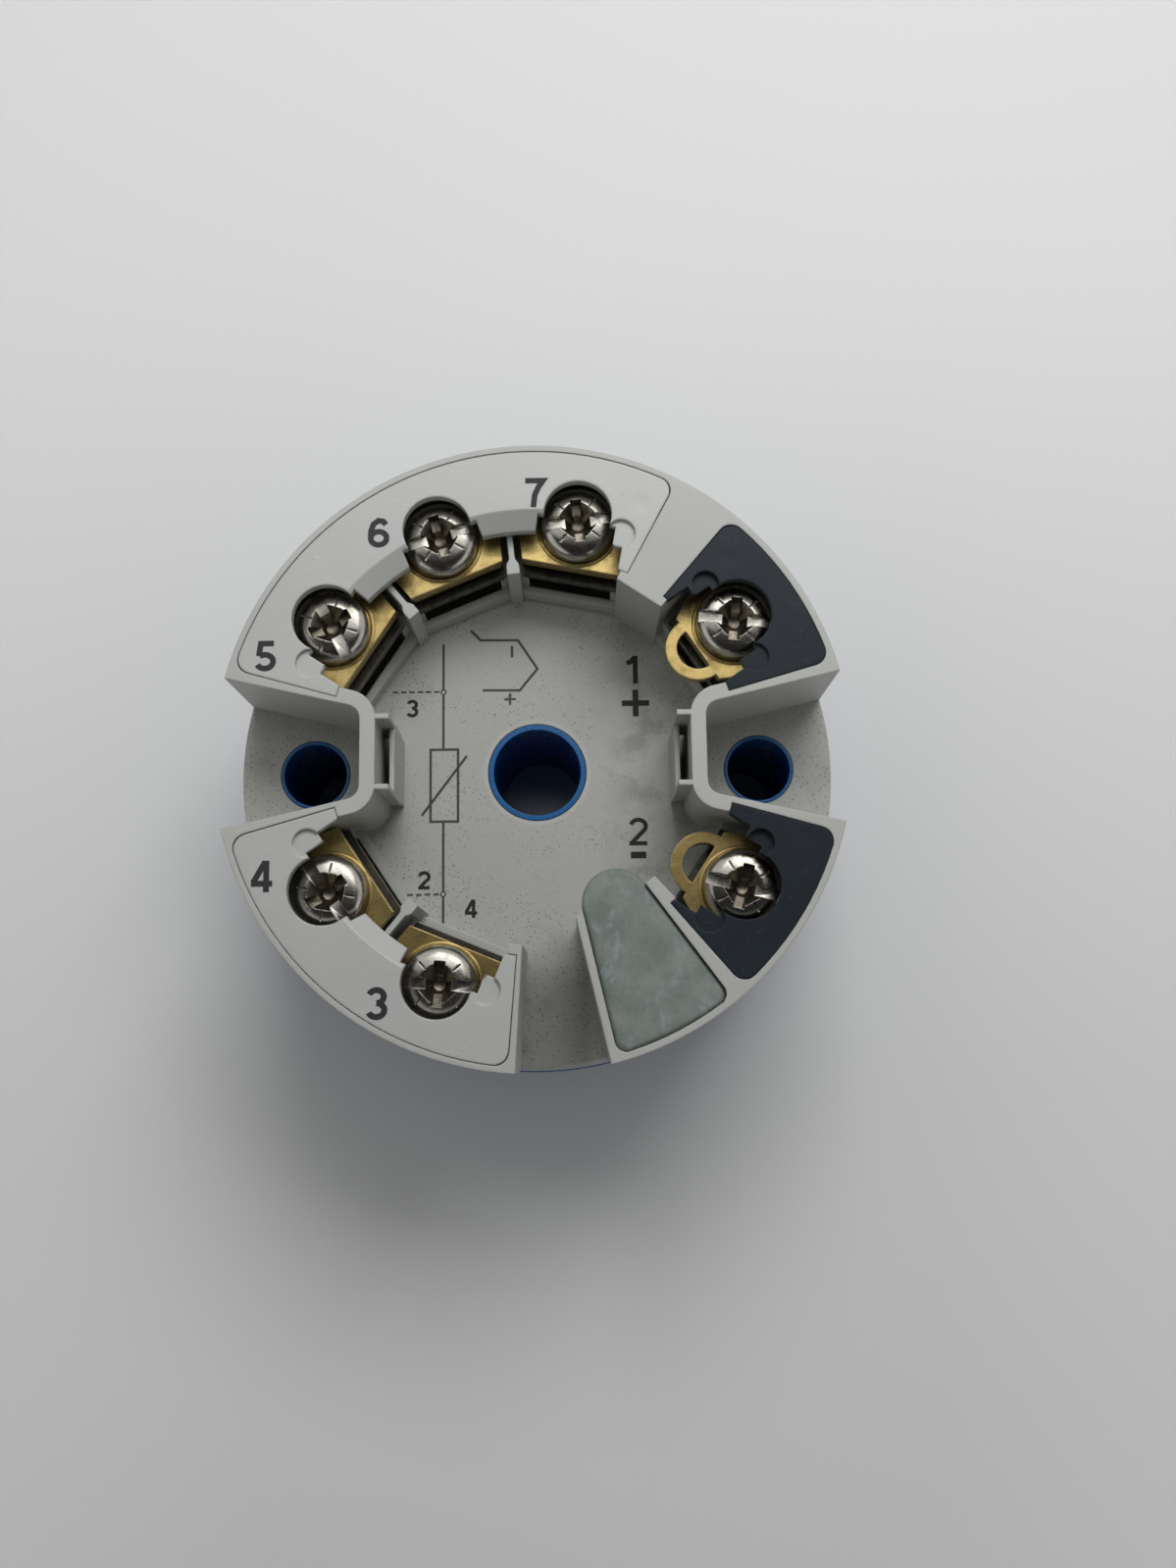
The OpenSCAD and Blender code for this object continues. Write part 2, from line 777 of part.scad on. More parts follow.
module clamp_area(i) {
    difference() {
        if (is_loop(i)) {
            union() {
                translate([loop_at, 0]) circle(loop_out_r);
                polygon(both_sides([[loop_at, loop_half], [loop_shoulder, loop_shoulder_half],
                    [clamp_end, loop_side(clamp_end)]]));
            }
        } else {
            polygon(both_sides([[clamp_at, clamp_half], [clamp_end, clamp_side(clamp_end)]]));
        }
        translate([term_r, 0]) circle(screw_d / 2 + clamp_hole_play);
        if (is_loop(i)) intersection() {
            translate([loop_at, 0]) circle(loop_in_r);
            translate([0, -loop_out_r]) square([loop_at, 2 * loop_out_r]);
        }
    }
}

module clamp_plate(i) {
    lip_at = is_loop(i) ? loop_at : clamp_at;
    lip_half = (is_loop(i) ? loop_half : clamp_half) - lip_margin;
    at_term(i) {
        slab(clamp_z, clamp_top_z) clamp_area(i);
        slab(clamp_z - lip_h, clamp_z + clamp_t / 2) translate([lip_at, -lip_half]) square([lip_t, 2 * lip_half]);
    }
}

// Contact bar with the leg that is soldered to the main board, and its threaded bush
bush_h = 2.4;
bush_r = 2.3;
bush_neck_r = 1.95;

module contact_bar(i) {
    at_term(i) {
        slab(bar_z, bar_top_z) difference() {
            polygon(both_sides([[bar_at, bar_side(i, bar_at)], [bar_end, bar_side(i, bar_end)]]));
            translate([term_r, 0]) circle(bush_neck_r + press_gap);
        }
        slab(board_z - leg_tail, bar_z + bar_t / 2) leg_area(0);
    }
}

module thread_bushes() {
    color("goldenrod") for (i = [0:6]) at_term(i) translate([term_r, 0]) {
        slab(bar_z - bush_h, bar_z) ring(screw_d / 2 + thread_gap, bush_r);
        slab(bar_z, bar_top_z) ring(screw_d / 2 + thread_gap, bush_neck_r);
    }
}

// Boards and what they carry
tube_play = 0.2;
leg_play = 0.1;
board_top_z = board_z + board_t;
power_top_z = power_board_z + board_t;
power_board_play = 0.45;
power_board_r = cavity_r - power_board_play;

module main_board() {
    color("darkgreen") slab(board_z, board_top_z) difference() {
        circle(board_r);
        circle(wire_tube_r + tube_play);
        for (s = [-1, 1]) translate([s * mount_x, 0]) circle(mount_tube_r + tube_play);
        for (i = [0:6]) at_term(i) leg_area(leg_play);
        in_socket() pin_places() square(socket_pin_w, center = true);
    }
}

module power_board() {
    color("darkgreen") slab(power_board_z, power_top_z) difference() {
        circle(power_board_r);
        circle(wire_tube_r + tube_play);
        for (s = [-1, 1]) translate([s * mount_x, 0]) circle(mount_tube_r + tube_play);
    }
}

module block(at, size, z, turn) {
    translate([at[0], at[1], z]) rotate(turn) translate([-size[0] / 2, -size[1] / 2, 0]) cube(size);
}

// Places of the parts as shares of the board's radius, and of the mounting holes' distance for the two chips
link_share = 0.677;
core_share = 0.413;
controller_share = 0.497;
converter_share = 0.461;
quartz_share = [-0.378, 0.308];
capacitor_shares = [[-0.219, -0.413], [0.02, -0.458]];
inductor_share = [-0.423, -0.423];
inductor_h_share = 0.765;
diode_h_share = 0.59;

link_size = [12, 2.4, board_gap];
link_at = board_r * [0, -link_share];
core_size = [8.4, 6.2, 3.6];
core_at = board_r * [0, core_share];
core_foot_h = 0.8;
winding_size = [4.4, 4.8, 2];
controller_size = [6.6, 6.6, 1];
controller_at = mount_x * [-controller_share, 0];
converter_size = [4.6, 5.8, 1.4];
converter_at = mount_x * [converter_share, 0];
quartz_size = [3.2, 1.6, 0.9];
quartz_at = board_r * quartz_share;
quartz_turn = 30;
capacitor_r = 1.9;
capacitor_h = 3.8;
resistor_size = [1.6, 0.8, 0.45];
resistor_offset = 6.7;
resistor_at = board_r - resistor_offset;
resistor_turns = [28, 38, 48, 98, 108, 142, 152, -152, -120, -108, -30];
inductor_r = 3;
inductor_h = board_gap * inductor_h_share;
inductor_at = board_r * inductor_share;
diode_size = [4.2, 2.6, board_gap * diode_h_share];
diode_offset = 8.4;
diode_at = power_board_r - diode_offset;
diode_turns = [30, 62, 94];

module board_link() {
    color("black") block(link_at, link_size, power_top_z, 0);
}

module isolation_transformer() {
    color("dimgray") difference() {
        block(core_at, core_size, board_top_z, 0);
        block(core_at, [winding_size[0] + 2 * tube_play, core_size[1] + over, winding_size[2] + 2 * tube_play],
            board_top_z + core_foot_h, 0);
    }
}

module transformer_winding() {
    color("peru") block(core_at, winding_size, board_top_z + core_foot_h + press_gap, 0);
}

module controller_chip() {
    color("black") block(controller_at, controller_size, board_top_z, 0);
}

module converter_chip() {
    color("black") block(converter_at, converter_size, board_top_z, 0);
}

module quartz_can() {
    color("silver") block(quartz_at, quartz_size, board_top_z, quartz_turn);
}

module storage_capacitors() {
    color("slategray") for (p = capacitor_shares) translate(board_r * p) slab(board_top_z, board_top_z + capacitor_h)
        circle(capacitor_r);
}

module chip_resistors() {
    color("black") for (a = resistor_turns) block(polar(resistor_at, a), resistor_size, board_top_z, a);
}

module filter_inductor() {
    color("black") translate(inductor_at) slab(power_top_z, power_top_z + inductor_h) circle(inductor_r);
}

module surge_diodes() {
    color("black") for (a = diode_turns) block(polar(diode_at, a), diode_size, power_top_z, a);
}

module potting_fill() {
    color("saddlebrown") slab(potting_z, power_board_z) difference() {
        circle(cavity_r - press_gap);
        circle(wire_tube_r + press_gap);
        for (s = [-1, 1]) translate([s * mount_x, 0]) circle(mount_tube_r + press_gap);
    }
}

base_cup();
top_housing();
cover_plate_567();
cover_plate_34();
loop_cover_1();
loop_cover_2();
service_plug();
service_connector();
connector_pins();
color("silver") screw(0);  // terminal_screw_1
color("silver") screw(1);  // terminal_screw_2
color("silver") screw(2);  // terminal_screw_3
color("silver") screw(3);  // terminal_screw_4
color("silver") screw(4);  // terminal_screw_5
color("silver") screw(5);  // terminal_screw_6
color("silver") screw(6);  // terminal_screw_7
color("goldenrod") clamp_plate(0);  // clamp_plate_1
color("goldenrod") clamp_plate(1);  // clamp_plate_2
color("goldenrod") clamp_plate(2);  // clamp_plate_3
color("goldenrod") clamp_plate(3);  // clamp_plate_4
color("goldenrod") clamp_plate(4);  // clamp_plate_5
color("goldenrod") clamp_plate(5);  // clamp_plate_6
color("goldenrod") clamp_plate(6);  // clamp_plate_7
color("gray") contact_bar(0);  // contact_bar_1
color("gray") contact_bar(1);  // contact_bar_2
color("gray") contact_bar(2);  // contact_bar_3
color("gray") contact_bar(3);  // contact_bar_4
color("gray") contact_bar(4);  // contact_bar_5
color("gray") contact_bar(5);  // contact_bar_6
color("gray") contact_bar(6);  // contact_bar_7
thread_bushes();
main_board();
power_board();
board_link();
isolation_transformer();
transformer_winding();
controller_chip();
converter_chip();
quartz_can();
storage_capacitors();
chip_resistors();
filter_inductor();
surge_diodes();
potting_fill();
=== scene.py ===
import json
import math

import bmesh
import bpy
from mathutils import Matrix, Vector


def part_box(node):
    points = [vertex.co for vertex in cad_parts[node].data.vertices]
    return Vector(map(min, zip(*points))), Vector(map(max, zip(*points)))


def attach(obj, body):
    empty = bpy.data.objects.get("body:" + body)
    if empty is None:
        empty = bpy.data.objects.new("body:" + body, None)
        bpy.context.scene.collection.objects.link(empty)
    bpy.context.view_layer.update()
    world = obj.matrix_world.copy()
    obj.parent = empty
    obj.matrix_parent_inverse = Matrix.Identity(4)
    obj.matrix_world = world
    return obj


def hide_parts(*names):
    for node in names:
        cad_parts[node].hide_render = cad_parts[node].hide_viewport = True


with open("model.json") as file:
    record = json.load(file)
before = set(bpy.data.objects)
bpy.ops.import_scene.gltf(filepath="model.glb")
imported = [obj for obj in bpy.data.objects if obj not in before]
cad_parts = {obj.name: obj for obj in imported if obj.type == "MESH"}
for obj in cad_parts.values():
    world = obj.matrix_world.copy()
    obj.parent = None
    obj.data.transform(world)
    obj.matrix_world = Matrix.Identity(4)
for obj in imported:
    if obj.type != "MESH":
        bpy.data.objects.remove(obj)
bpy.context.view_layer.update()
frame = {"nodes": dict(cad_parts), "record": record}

MM = 0.001
PLATE_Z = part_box("cover_plate_567")[1][2]
DECK_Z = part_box("base_cup")[1][2]

# The terminals' circle, and by terminal number its turn on the circle and its screw slot's turn, in degrees
TERM_R = 17.15 * MM
TERM_TURNS = {1: 33.5, 2: -33.5, 3: -112.75, 4: -146.5, 5: 146.5, 6: 112.75, 7: 79.0}
SLOT_TURNS = {1: -6.5, 2: -16.0, 3: -5.0, 4: -55.0, 5: -62.5, 6: 17.0, 7: 6.0}


class Wire:
    """A node's output that takes plain arithmetic."""

    def __init__(self, finish, socket):
        self.finish = finish
        self.socket = socket

    def sum(self, operation, *others):
        return self.finish.node("ShaderNodeMath", {"operation": operation}, dict(enumerate(others)))

    def __add__(self, other):
        return self.sum("ADD", self, other)

    def __radd__(self, other):
        return self.sum("ADD", other, self)

    def __sub__(self, other):
        return self.sum("SUBTRACT", self, other)

    def __rsub__(self, other):
        return self.sum("SUBTRACT", other, self)

    def __mul__(self, other):
        return self.sum("MULTIPLY", self, other)

    def __rmul__(self, other):
        return self.sum("MULTIPLY", other, self)

    def most(self, other):
        return self.sum("MAXIMUM", self, other)

    def size(self):
        return self.sum("ABSOLUTE", self)

    def ramp(self, low, high):
        """0 below low and 1 above high, with a soft step between them."""
        return self.finish.node("ShaderNodeMapRange", {"interpolation_type": "SMOOTHSTEP", "clamp": True},
                                {"Value": self, "From Min": low, "From Max": high})


class Finish:
    """One material, built from nodes."""

    def __init__(self, name):
        self.material = bpy.data.materials.new(name)
        self.material.use_nodes = True
        self.tree = self.material.node_tree
        self.shader = self.tree.nodes["Principled BSDF"]
        self.place = self.node("ShaderNodeTexCoord", {}, {}, "Object")

    def node(self, kind, settings, values, out=0):
        made = self.tree.nodes.new(kind)
        for key, value in settings.items():
            setattr(made, key, value)
        for key, value in values.items():
            self.feed(made.inputs[key], value)
        return Wire(self, made.outputs[out])

    def feed(self, socket, value):
        if isinstance(value, Wire):
            self.tree.links.new(value.socket, socket)
        elif isinstance(value, tuple) and len(value) == 3 and len(socket.default_value) == 4:
            socket.default_value = (*value, 1)
        else:
            socket.default_value = value

    def noise(self, size, detail=2.0, rough=0.5, place=None, bend=0.0):
        """Noise between 0 and 1 whose lumps are about size metres wide."""
        return self.node("ShaderNodeTexNoise", {"noise_dimensions": "3D"}, {
            "Vector": place or self.place, "Scale": 1 / size, "Detail": detail, "Roughness": rough,
            "Distortion": bend})

    def specks(self, size, core, rim):
        """A speck in each cell about size metres wide, full up to core and gone past rim, shares of size."""
        cells = self.node("ShaderNodeTexVoronoi", {"feature": "F1"}, {
            "Vector": self.place, "Scale": 1 / size, "Randomness": 1.0})
        return 1 - cells.ramp(core, rim)

    def stretched(self, scale, turn=(0, 0, 0), shift=(0, 0, 0)):
        return self.node("ShaderNodeMapping", {}, {
            "Vector": self.place, "Scale": scale, "Rotation": turn, "Location": shift})

    def blend(self, share, first, second):
        mixed = self.node("ShaderNodeMix", {"data_type": "RGBA", "clamp_factor": True}, {0: share}, 2)
        made = mixed.socket.node
        self.feed(made.inputs[6], first)
        self.feed(made.inputs[7], second)
        return mixed

    def coats(self, base, **layers):
        """The base colour under named layers, each given as its share and its colour."""
        for name, (share, colour) in layers.items():
            base = self.blend(share, base, colour)
            base.socket.node.label = name
        return base

    def across(self, axis):
        return self.node("ShaderNodeSeparateXYZ", {}, {0: self.place}, axis)

    def distance_from(self, x, y):
        """How far a point lies from the upright line through x, y, in metres."""
        flat = self.stretched((1, 1, 0), (0, 0, 0), (-x, -y, 0))
        return self.node("ShaderNodeVectorMath", {"operation": "LENGTH"}, {0: flat}, "Value")

    def facing_up(self):
        normal = self.node("ShaderNodeNewGeometry", {}, {}, "True Normal")
        return self.node("ShaderNodeSeparateXYZ", {}, {0: normal}, "Z")

    def soft_edge(self, radius):
        """The normal with its edges rounded, and how near an edge the point lies."""
        rounded = self.node("ShaderNodeBevel", {"samples": 4}, {"Radius": radius})
        flat = self.node("ShaderNodeNewGeometry", {}, {}, "Normal")
        same = self.node("ShaderNodeVectorMath", {"operation": "DOT_PRODUCT"}, {0: rounded, 1: flat}, "Value")
        return rounded, (1 - same).ramp(0.01, 0.22)

    def bump(self, height, distance, strength=1.0, under=None):
        values = {"Height": height, "Distance": distance, "Strength": strength}
        if under:
            values["Normal"] = under
        return self.node("ShaderNodeBump", {}, values)

    def wear(self, **values):
        for name, value in values.items():
            self.feed(self.shader.inputs[name.replace("_", " ")], value)
        return self.material


# Finishes: colours are linear, lengths are in millimetres times MM
# Grey of worn edges, and of the painted highlight round the wire hole in the deck
WORN_AND_HIGHLIGHT_GREY = (0.50, 0.505, 0.48)
WIRE_HOLE_RIM_R = 3.86 * MM
CHANNEL_X = 0.6 * MM
GATE_R = 0.95 * MM
WHITE_GATES = [(7.77, 17.48), (-16.2, -11.4)]
DARK_GATES = [(13.85, 13.37), (18.6, -6.4)]


def moulded_grey():
    """Matte housing plastic: clean walls, and a deck with dark specks, dirt and fine scratches; painted shade
    darkens the deck a little, more near the walls and most in the channel, and a painted highlight lightens a
    ring round the wire hole.
    """
    f = Finish("housing_grey")
    grain = f.noise(0.16 * MM, 2, 0.6)
    out = f.distance_from(0, 0)
    off_deck = (f.across("Z") - DECK_Z).size().ramp(0.15 * MM, 0.6 * MM)
    deck = (1 - off_deck) * f.facing_up().ramp(0.5, 0.9)
    near_wall = out.ramp(8.5 * MM, 13.5 * MM)
    off_channel = (f.across("X") - CHANNEL_X).size().ramp(2.6 * MM, 3.6 * MM)
    channel = (0 - f.across("Y")).ramp(12.5 * MM, 16 * MM) * (1 - off_channel)
    patches = (f.noise(4.2 * MM, 4, 0.65) + 0.14 * near_wall + 0.2 * channel).ramp(0.38, 0.66)
    fine = f.specks(0.26 * MM, 0.08, 0.26)
    coarse = f.specks(1.1 * MM, 0.03, 0.085)
    dust = f.noise(0.6 * MM, 5, 0.7).ramp(0.56, 0.80)
    smear = f.noise(2.6 * MM, 5, 0.6).ramp(0.50, 0.80)
    # A lighter ring on the deck round the wire hole: painted highlight of its rounded edge.
    rim_highlight = 1 - (out - WIRE_HOLE_RIM_R).size().ramp(0.04 * MM, 0.24 * MM)
    right = f.across("X").ramp(4.2 * MM, 7.5 * MM) * (1 - out.ramp(11 * MM, 13 * MM))
    strokes = f.noise(0.10 * MM, 2, 0.6, f.stretched((4, 0.12, 1), (0, 0, -0.35)), 0.3)
    scratches = strokes * f.noise(2.2 * MM, 3).ramp(0.42, 0.62) * right
    rounded, edge = f.soft_edge(0.16 * MM)
    base = f.coats(
        f.blend(f.noise(9 * MM, 3), (0.396, 0.404, 0.380), (0.459, 0.466, 0.441)),
        # Partly dirt, partly painted shade: a slight darkening of the whole deck, more in blotches near the
        # walls, and most in the channel.
        grime=(deck * (0.15 + 0.38 * smear * near_wall + 0.55 * channel), (0.195, 0.198, 0.176)),
        fine_specks=(fine * (0.08 + deck * patches * 0.95), (0.060, 0.058, 0.050)),
        coarse_specks=(coarse * (0.16 + 0.75 * deck * patches), (0.030, 0.029, 0.025)),
        dust=(dust * deck * 0.35, (0.185, 0.185, 0.165)),
        worn_edges=(edge * 0.30, WORN_AND_HIGHLIGHT_GREY),
        wire_hole_rim=(rim_highlight * deck * 0.45, WORN_AND_HIGHLIGHT_GREY),
        scratches=(scratches * deck * 0.8, (0.150, 0.150, 0.135)))
    relief = grain + 0.5 * f.noise(0.5 * MM, 2) + 1.2 * scratches * deck
    skin = f.bump(relief, 0.014 * MM, 0.55, rounded)
    return f.wear(Base_Color=base, Roughness=0.38 + 0.18 * grain + 0.08 * deck * patches, Normal=skin)


def gate_marks(finish, places):
    """Soft round sinks where the mould was filled, at these places in millimetres."""
    dips = [1 - finish.distance_from(x * MM, y * MM).ramp(0, GATE_R) for x, y in places]
    total = dips[0]
    for dip in dips[1:]:
        total = total + dip
    return total


def gloss_white():
    """Glossy cover plastic with soft edges, fine rubbed marks and a faint flow pattern."""
    f = Finish("cover_white")
    rubs = f.noise(1.2 * MM, 4, 0.6, f.stretched((1, 6, 1), (0, 0, 0.6)))
    stains = f.noise(2.4 * MM, 5, 0.7).ramp(0.66, 0.84)
    rounded, edge = f.soft_edge(0.22 * MM)
    base = f.coats(
        f.blend(f.noise(6 * MM, 3, 0.5, bend=0.6), (0.436, 0.446, 0.431), (0.486, 0.494, 0.478)),
        stains=(stains * 0.16, (0.27, 0.275, 0.26)),
        specks=(f.specks(1.4 * MM, 0.02, 0.05) * 0.5, (0.09, 0.09, 0.08)),
        worn_edges=(edge * 0.30, (0.58, 0.59, 0.575)))
    relief = f.noise(2.6 * MM, 2) + 0.05 * rubs - 1.3 * gate_marks(f, WHITE_GATES)
    skin = f.bump(relief, 0.03 * MM, 0.5, rounded)
    return f.wear(Base_Color=base, Roughness=0.24 + 0.07 * rubs.ramp(0.45, 0.8), Normal=skin)


def gloss_dark():
    """Anthracite plastic with pale scuffs and dust."""
    f = Finish("cover_dark")
    scuffs = f.noise(1.1 * MM, 6, 0.7, f.stretched((1, 2.2, 1), (0, 0, -0.5)), 0.6).ramp(0.58, 0.80)
    haze = f.noise(2.2 * MM, 4, 0.6).ramp(0.58, 0.78)
    rounded, edge = f.soft_edge(0.16 * MM)
    base = f.coats(
        f.blend(f.noise(5 * MM, 3), (0.0185, 0.0235, 0.0295), (0.0265, 0.0325, 0.0395)),
        scuffs=(scuffs * 0.14 + haze * 0.10, (0.13, 0.14, 0.15)),
        dust=(f.specks(0.6 * MM, 0.05, 0.12) * 0.22, (0.18, 0.18, 0.17)),
        worn_edges=(edge * 0.35, (0.050, 0.058, 0.068)))
    relief = f.noise(2.2 * MM, 2) + 0.2 * scuffs - 1.4 * gate_marks(f, DARK_GATES)
    skin = f.bump(relief, 0.02 * MM, 0.5, rounded)
    f.shader.inputs["Specular IOR Level"].default_value = 0.13
    return f.wear(Base_Color=base, Roughness=0.24 + 0.20 * scuffs + 0.12 * haze, Normal=skin)


def deep_blue():
    """Dyed blue cup plastic, with a painted highlight on its edges and on its top rim."""
    f = Finish("cup_blue")
    grain = f.noise(0.14 * MM, 2)
    # The top half millimetre below the deck and the edges get a lighter blue: painted highlight.
    rim = f.across("Z").ramp(DECK_Z - 0.5 * MM, DECK_Z - 0.05 * MM)
    rounded, edge = f.soft_edge(0.12 * MM)
    base = f.coats(
        f.blend(f.noise(7 * MM, 3, 0.5, bend=0.5), (0.003, 0.050, 0.205), (0.005, 0.068, 0.265)),
        thin_edges=((edge * 0.45).most(rim * 0.7), (0.010, 0.115, 0.300)))
    skin = f.bump(grain + 0.6 * f.noise(0.6 * MM, 3), 0.010 * MM, 0.5, rounded)
    return f.wear(Base_Color=base, Roughness=0.20 + 0.14 * grain, Normal=skin)


def rubber_green():
    """Grey-green rubber, mottled, with a pale smear, dark veins and dirt along its edges."""
    f = Finish("plug_rubber")
    mottle = f.noise(1.8 * MM, 5, 0.62)
    bloom = f.noise(2.2 * MM, 6, 0.68, f.stretched((1, 0.6, 1), (0, 0, 0.5)), 0.8).ramp(0.55, 0.66)
    veins = 1 - (f.noise(2.6 * MM, 4, 0.6, bend=0.6) - 0.5).size().ramp(0.004, 0.022)
    pores = f.noise(0.12 * MM, 3, 0.7)
    edge = f.soft_edge(0.25 * MM)[1]
    base = f.coats(
        f.blend(mottle.ramp(0.3, 0.7), (0.150, 0.174, 0.157), (0.220, 0.247, 0.226)),
        bloom=(bloom * 0.50, (0.30, 0.345, 0.350)),
        veins=(veins * bloom.most(0.25) * 0.45, (0.085, 0.105, 0.110)),
        specks=(f.specks(0.8 * MM, 0.05, 0.12) * 0.5, (0.09, 0.095, 0.08)),
        grimy_edges=(edge * 0.45, (0.110, 0.118, 0.098)))
    skin = f.bump(pores + 0.8 * mottle, 0.03 * MM, 0.6)
    return f.wear(Base_Color=base, Roughness=0.52 + 0.2 * pores, Normal=skin)


def rolled_brass():
    """Golden brass with rolling lines, bright worn edges, brown tarnish and dark flecks."""
    f = Finish("terminal_brass")
    lines = f.noise(0.5 * MM, 3, 0.6, f.stretched((1, 14, 1), (0, 0, 0.35)))
    tarnish = f.noise(1.1 * MM, 5, 0.68).ramp(0.42, 0.72)
    flecks = f.specks(0.40 * MM, 0.05, 0.15)
    rounded, edge = f.soft_edge(0.13 * MM)
    base = f.coats(
        f.blend(lines, (0.560, 0.412, 0.150), (0.740, 0.566, 0.245)),
        tarnish=(tarnish * 0.62, (0.260, 0.166, 0.052)),
        flecks=(flecks * 0.65, (0.070, 0.045, 0.022)),
        worn_edges=(edge * 0.65, (0.93, 0.80, 0.50)))
    skin = f.bump(lines, 0.006 * MM, 0.6, rounded)
    rough = 0.22 + 0.12 * lines + 0.16 * tarnish
    return f.wear(Base_Color=base, Metallic=1 - 0.5 * flecks, Roughness=rough, Normal=skin)


def bright_nickel():
    """Nickel plating over turned steel, with patches of brown grease."""
    f = Finish("screw_nickel")
    turned = f.noise(0.16 * MM, 3, 0.6)
    dull = f.noise(0.7 * MM, 5, 0.7).ramp(0.45, 0.75)
    rounded, edge = f.soft_edge(0.07 * MM)
    base = f.coats(
        f.blend(turned, (0.440, 0.415, 0.365), (0.560, 0.535, 0.485)),
        grease=(dull * 0.45, (0.270, 0.242, 0.190)),
        flecks=(f.specks(0.45 * MM, 0.05, 0.14) * 0.30, (0.08, 0.07, 0.05)),
        worn_edges=(edge * 0.65, (0.92, 0.90, 0.85)))
    skin = f.bump(turned + 0.4 * dull, 0.006 * MM, 0.6, rounded)
    return f.wear(Base_Color=base, Metallic=1.0, Roughness=0.16 + 0.10 * turned + 0.14 * dull, Normal=skin)


def shaded_recess_nickel():
    """The same plating inside the driver's recess, dulled, and painted darker and browner as shade."""
    f = Finish("shaded_recess_nickel")
    grease = f.noise(0.5 * MM, 5, 0.7)
    rounded, edge = f.soft_edge(0.06 * MM)
    # Painted shade: two dark browns, mixed by a noise, in place of the head's lighter nickel.
    base = f.coats(
        f.blend(grease.ramp(0.35, 0.65), (0.150, 0.132, 0.098), (0.270, 0.245, 0.195)),
        worn_edges=(edge * 0.5, (0.66, 0.62, 0.54)))
    skin = f.bump(grease, 0.015 * MM, 0.6, rounded)
    return f.wear(Base_Color=base, Metallic=1.0, Roughness=0.24 + 0.2 * grease, Normal=skin)


def dull_steel():
    """Tinned contact bar, grey and brushed, painted dark for the shade and dark reflections it sits in,
    darker still with grease but for its edges.
    """
    f = Finish("bar_steel")
    brushed = f.noise(0.4 * MM, 3, 0.6, f.stretched((1, 12, 1), (0, 0, -0.4)))
    grease = f.noise(1.1 * MM, 5, 0.65).ramp(0.40, 0.70)
    rounded, edge = f.soft_edge(0.07 * MM)
    base = f.coats(
        # Painted shade and painted dark reflection: a near-black base for tinned steel.
        f.blend(brushed, (0.075, 0.070, 0.058), (0.150, 0.143, 0.125)),
        grease=(grease * 0.6, (0.030, 0.026, 0.019)),
        worn_edges=(edge * 0.75, (0.62, 0.60, 0.54)))
    skin = f.bump(brushed, 0.008 * MM, 0.6, rounded)
    return f.wear(Base_Color=base, Metallic=1.0, Roughness=0.30 + 0.2 * grease + 0.1 * brushed, Normal=skin)


def laminate():
    """Green board lacquer with its copper tracks showing through as a fine relief."""
    f = Finish("board_laminate")
    tracks = f.node("ShaderNodeTexBrick", {"offset": 0.3}, {
        "Vector": f.place, "Color1": (0, 0, 0), "Color2": (0.25, 0.25, 0.25), "Mortar": (1, 1, 1),
        "Scale": 1 / (2.2 * MM), "Mortar Size": 0.05, "Brick Width": 0.9, "Row Height": 0.35})
    weave = f.noise(0.3 * MM, 2)
    base = f.coats(
        f.blend(tracks, (0.012, 0.085, 0.030), (0.030, 0.190, 0.060)),
        weave=(weave * 0.3, (0.010, 0.060, 0.024)))
    skin = f.bump(tracks + 0.2 * weave, 0.03 * MM)
    return f.wear(Base_Color=base, Roughness=0.30 + 0.1 * weave, Normal=skin)


def plain_finish(name, low, high, rough, metal=0.0, grain=0.2, deep=0.012):
    """A simple moulded, cast or drawn finish: two tones, a grain and soft edges."""
    f = Finish(name)
    fine = f.noise(grain * MM, 3, 0.6)
    rounded, edge = f.soft_edge(0.06 * MM)
    paler = tuple(min(1.0, v * 1.6 + 0.02) for v in high)
    base = f.coats(f.blend(f.noise(3 * MM, 4, 0.6), low, high), worn_edges=(edge * 0.3, paler))
    skin = f.bump(fine, deep * MM, 0.6, rounded)
    return f.wear(Base_Color=base, Metallic=metal, Roughness=rough + 0.15 * fine, Normal=skin)


FINISHES = {
    "blue_plastic": deep_blue(),
    "grey_plastic": moulded_grey(),
    "white_plastic": gloss_white(),
    "dark_plastic": gloss_dark(),
    "plug_rubber": rubber_green(),
    "brass": rolled_brass(),
    "nickel": bright_nickel(),
    "bar_steel": dull_steel(),
    "board_laminate": laminate(),
    "chip_resin": plain_finish("chip_resin", (0.012, 0.012, 0.013), (0.024, 0.024, 0.026), 0.50),
    "ferrite": plain_finish("ferrite_core", (0.030, 0.031, 0.034), (0.060, 0.060, 0.064), 0.45, grain=0.35),
    "winding_copper": plain_finish("winding_copper", (0.330, 0.120, 0.035), (0.480, 0.200, 0.070), 0.28,
                                   metal=0.6, grain=0.25, deep=0.05),
    "can_aluminium": plain_finish("can_aluminium", (0.560, 0.560, 0.570), (0.680, 0.680, 0.690), 0.30,
                                  metal=1.0),
    "potting_resin": plain_finish("potting_resin", (0.030, 0.018, 0.010), (0.055, 0.034, 0.020), 0.22,
                                  grain=1.5, deep=0.06)}
SHADED_RECESS = shaded_recess_nickel()

for part in frame["record"]["subparts"]:
    node = frame["nodes"][part["node"]]
    node.data.materials.clear()
    node.data.materials.append(FINISHES[part["material_slot"]])


# Making and keeping pieces
def kept(obj, body, slot, *stands_for):
    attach(obj, body)
    if stands_for:
        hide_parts(*stands_for)
    return obj


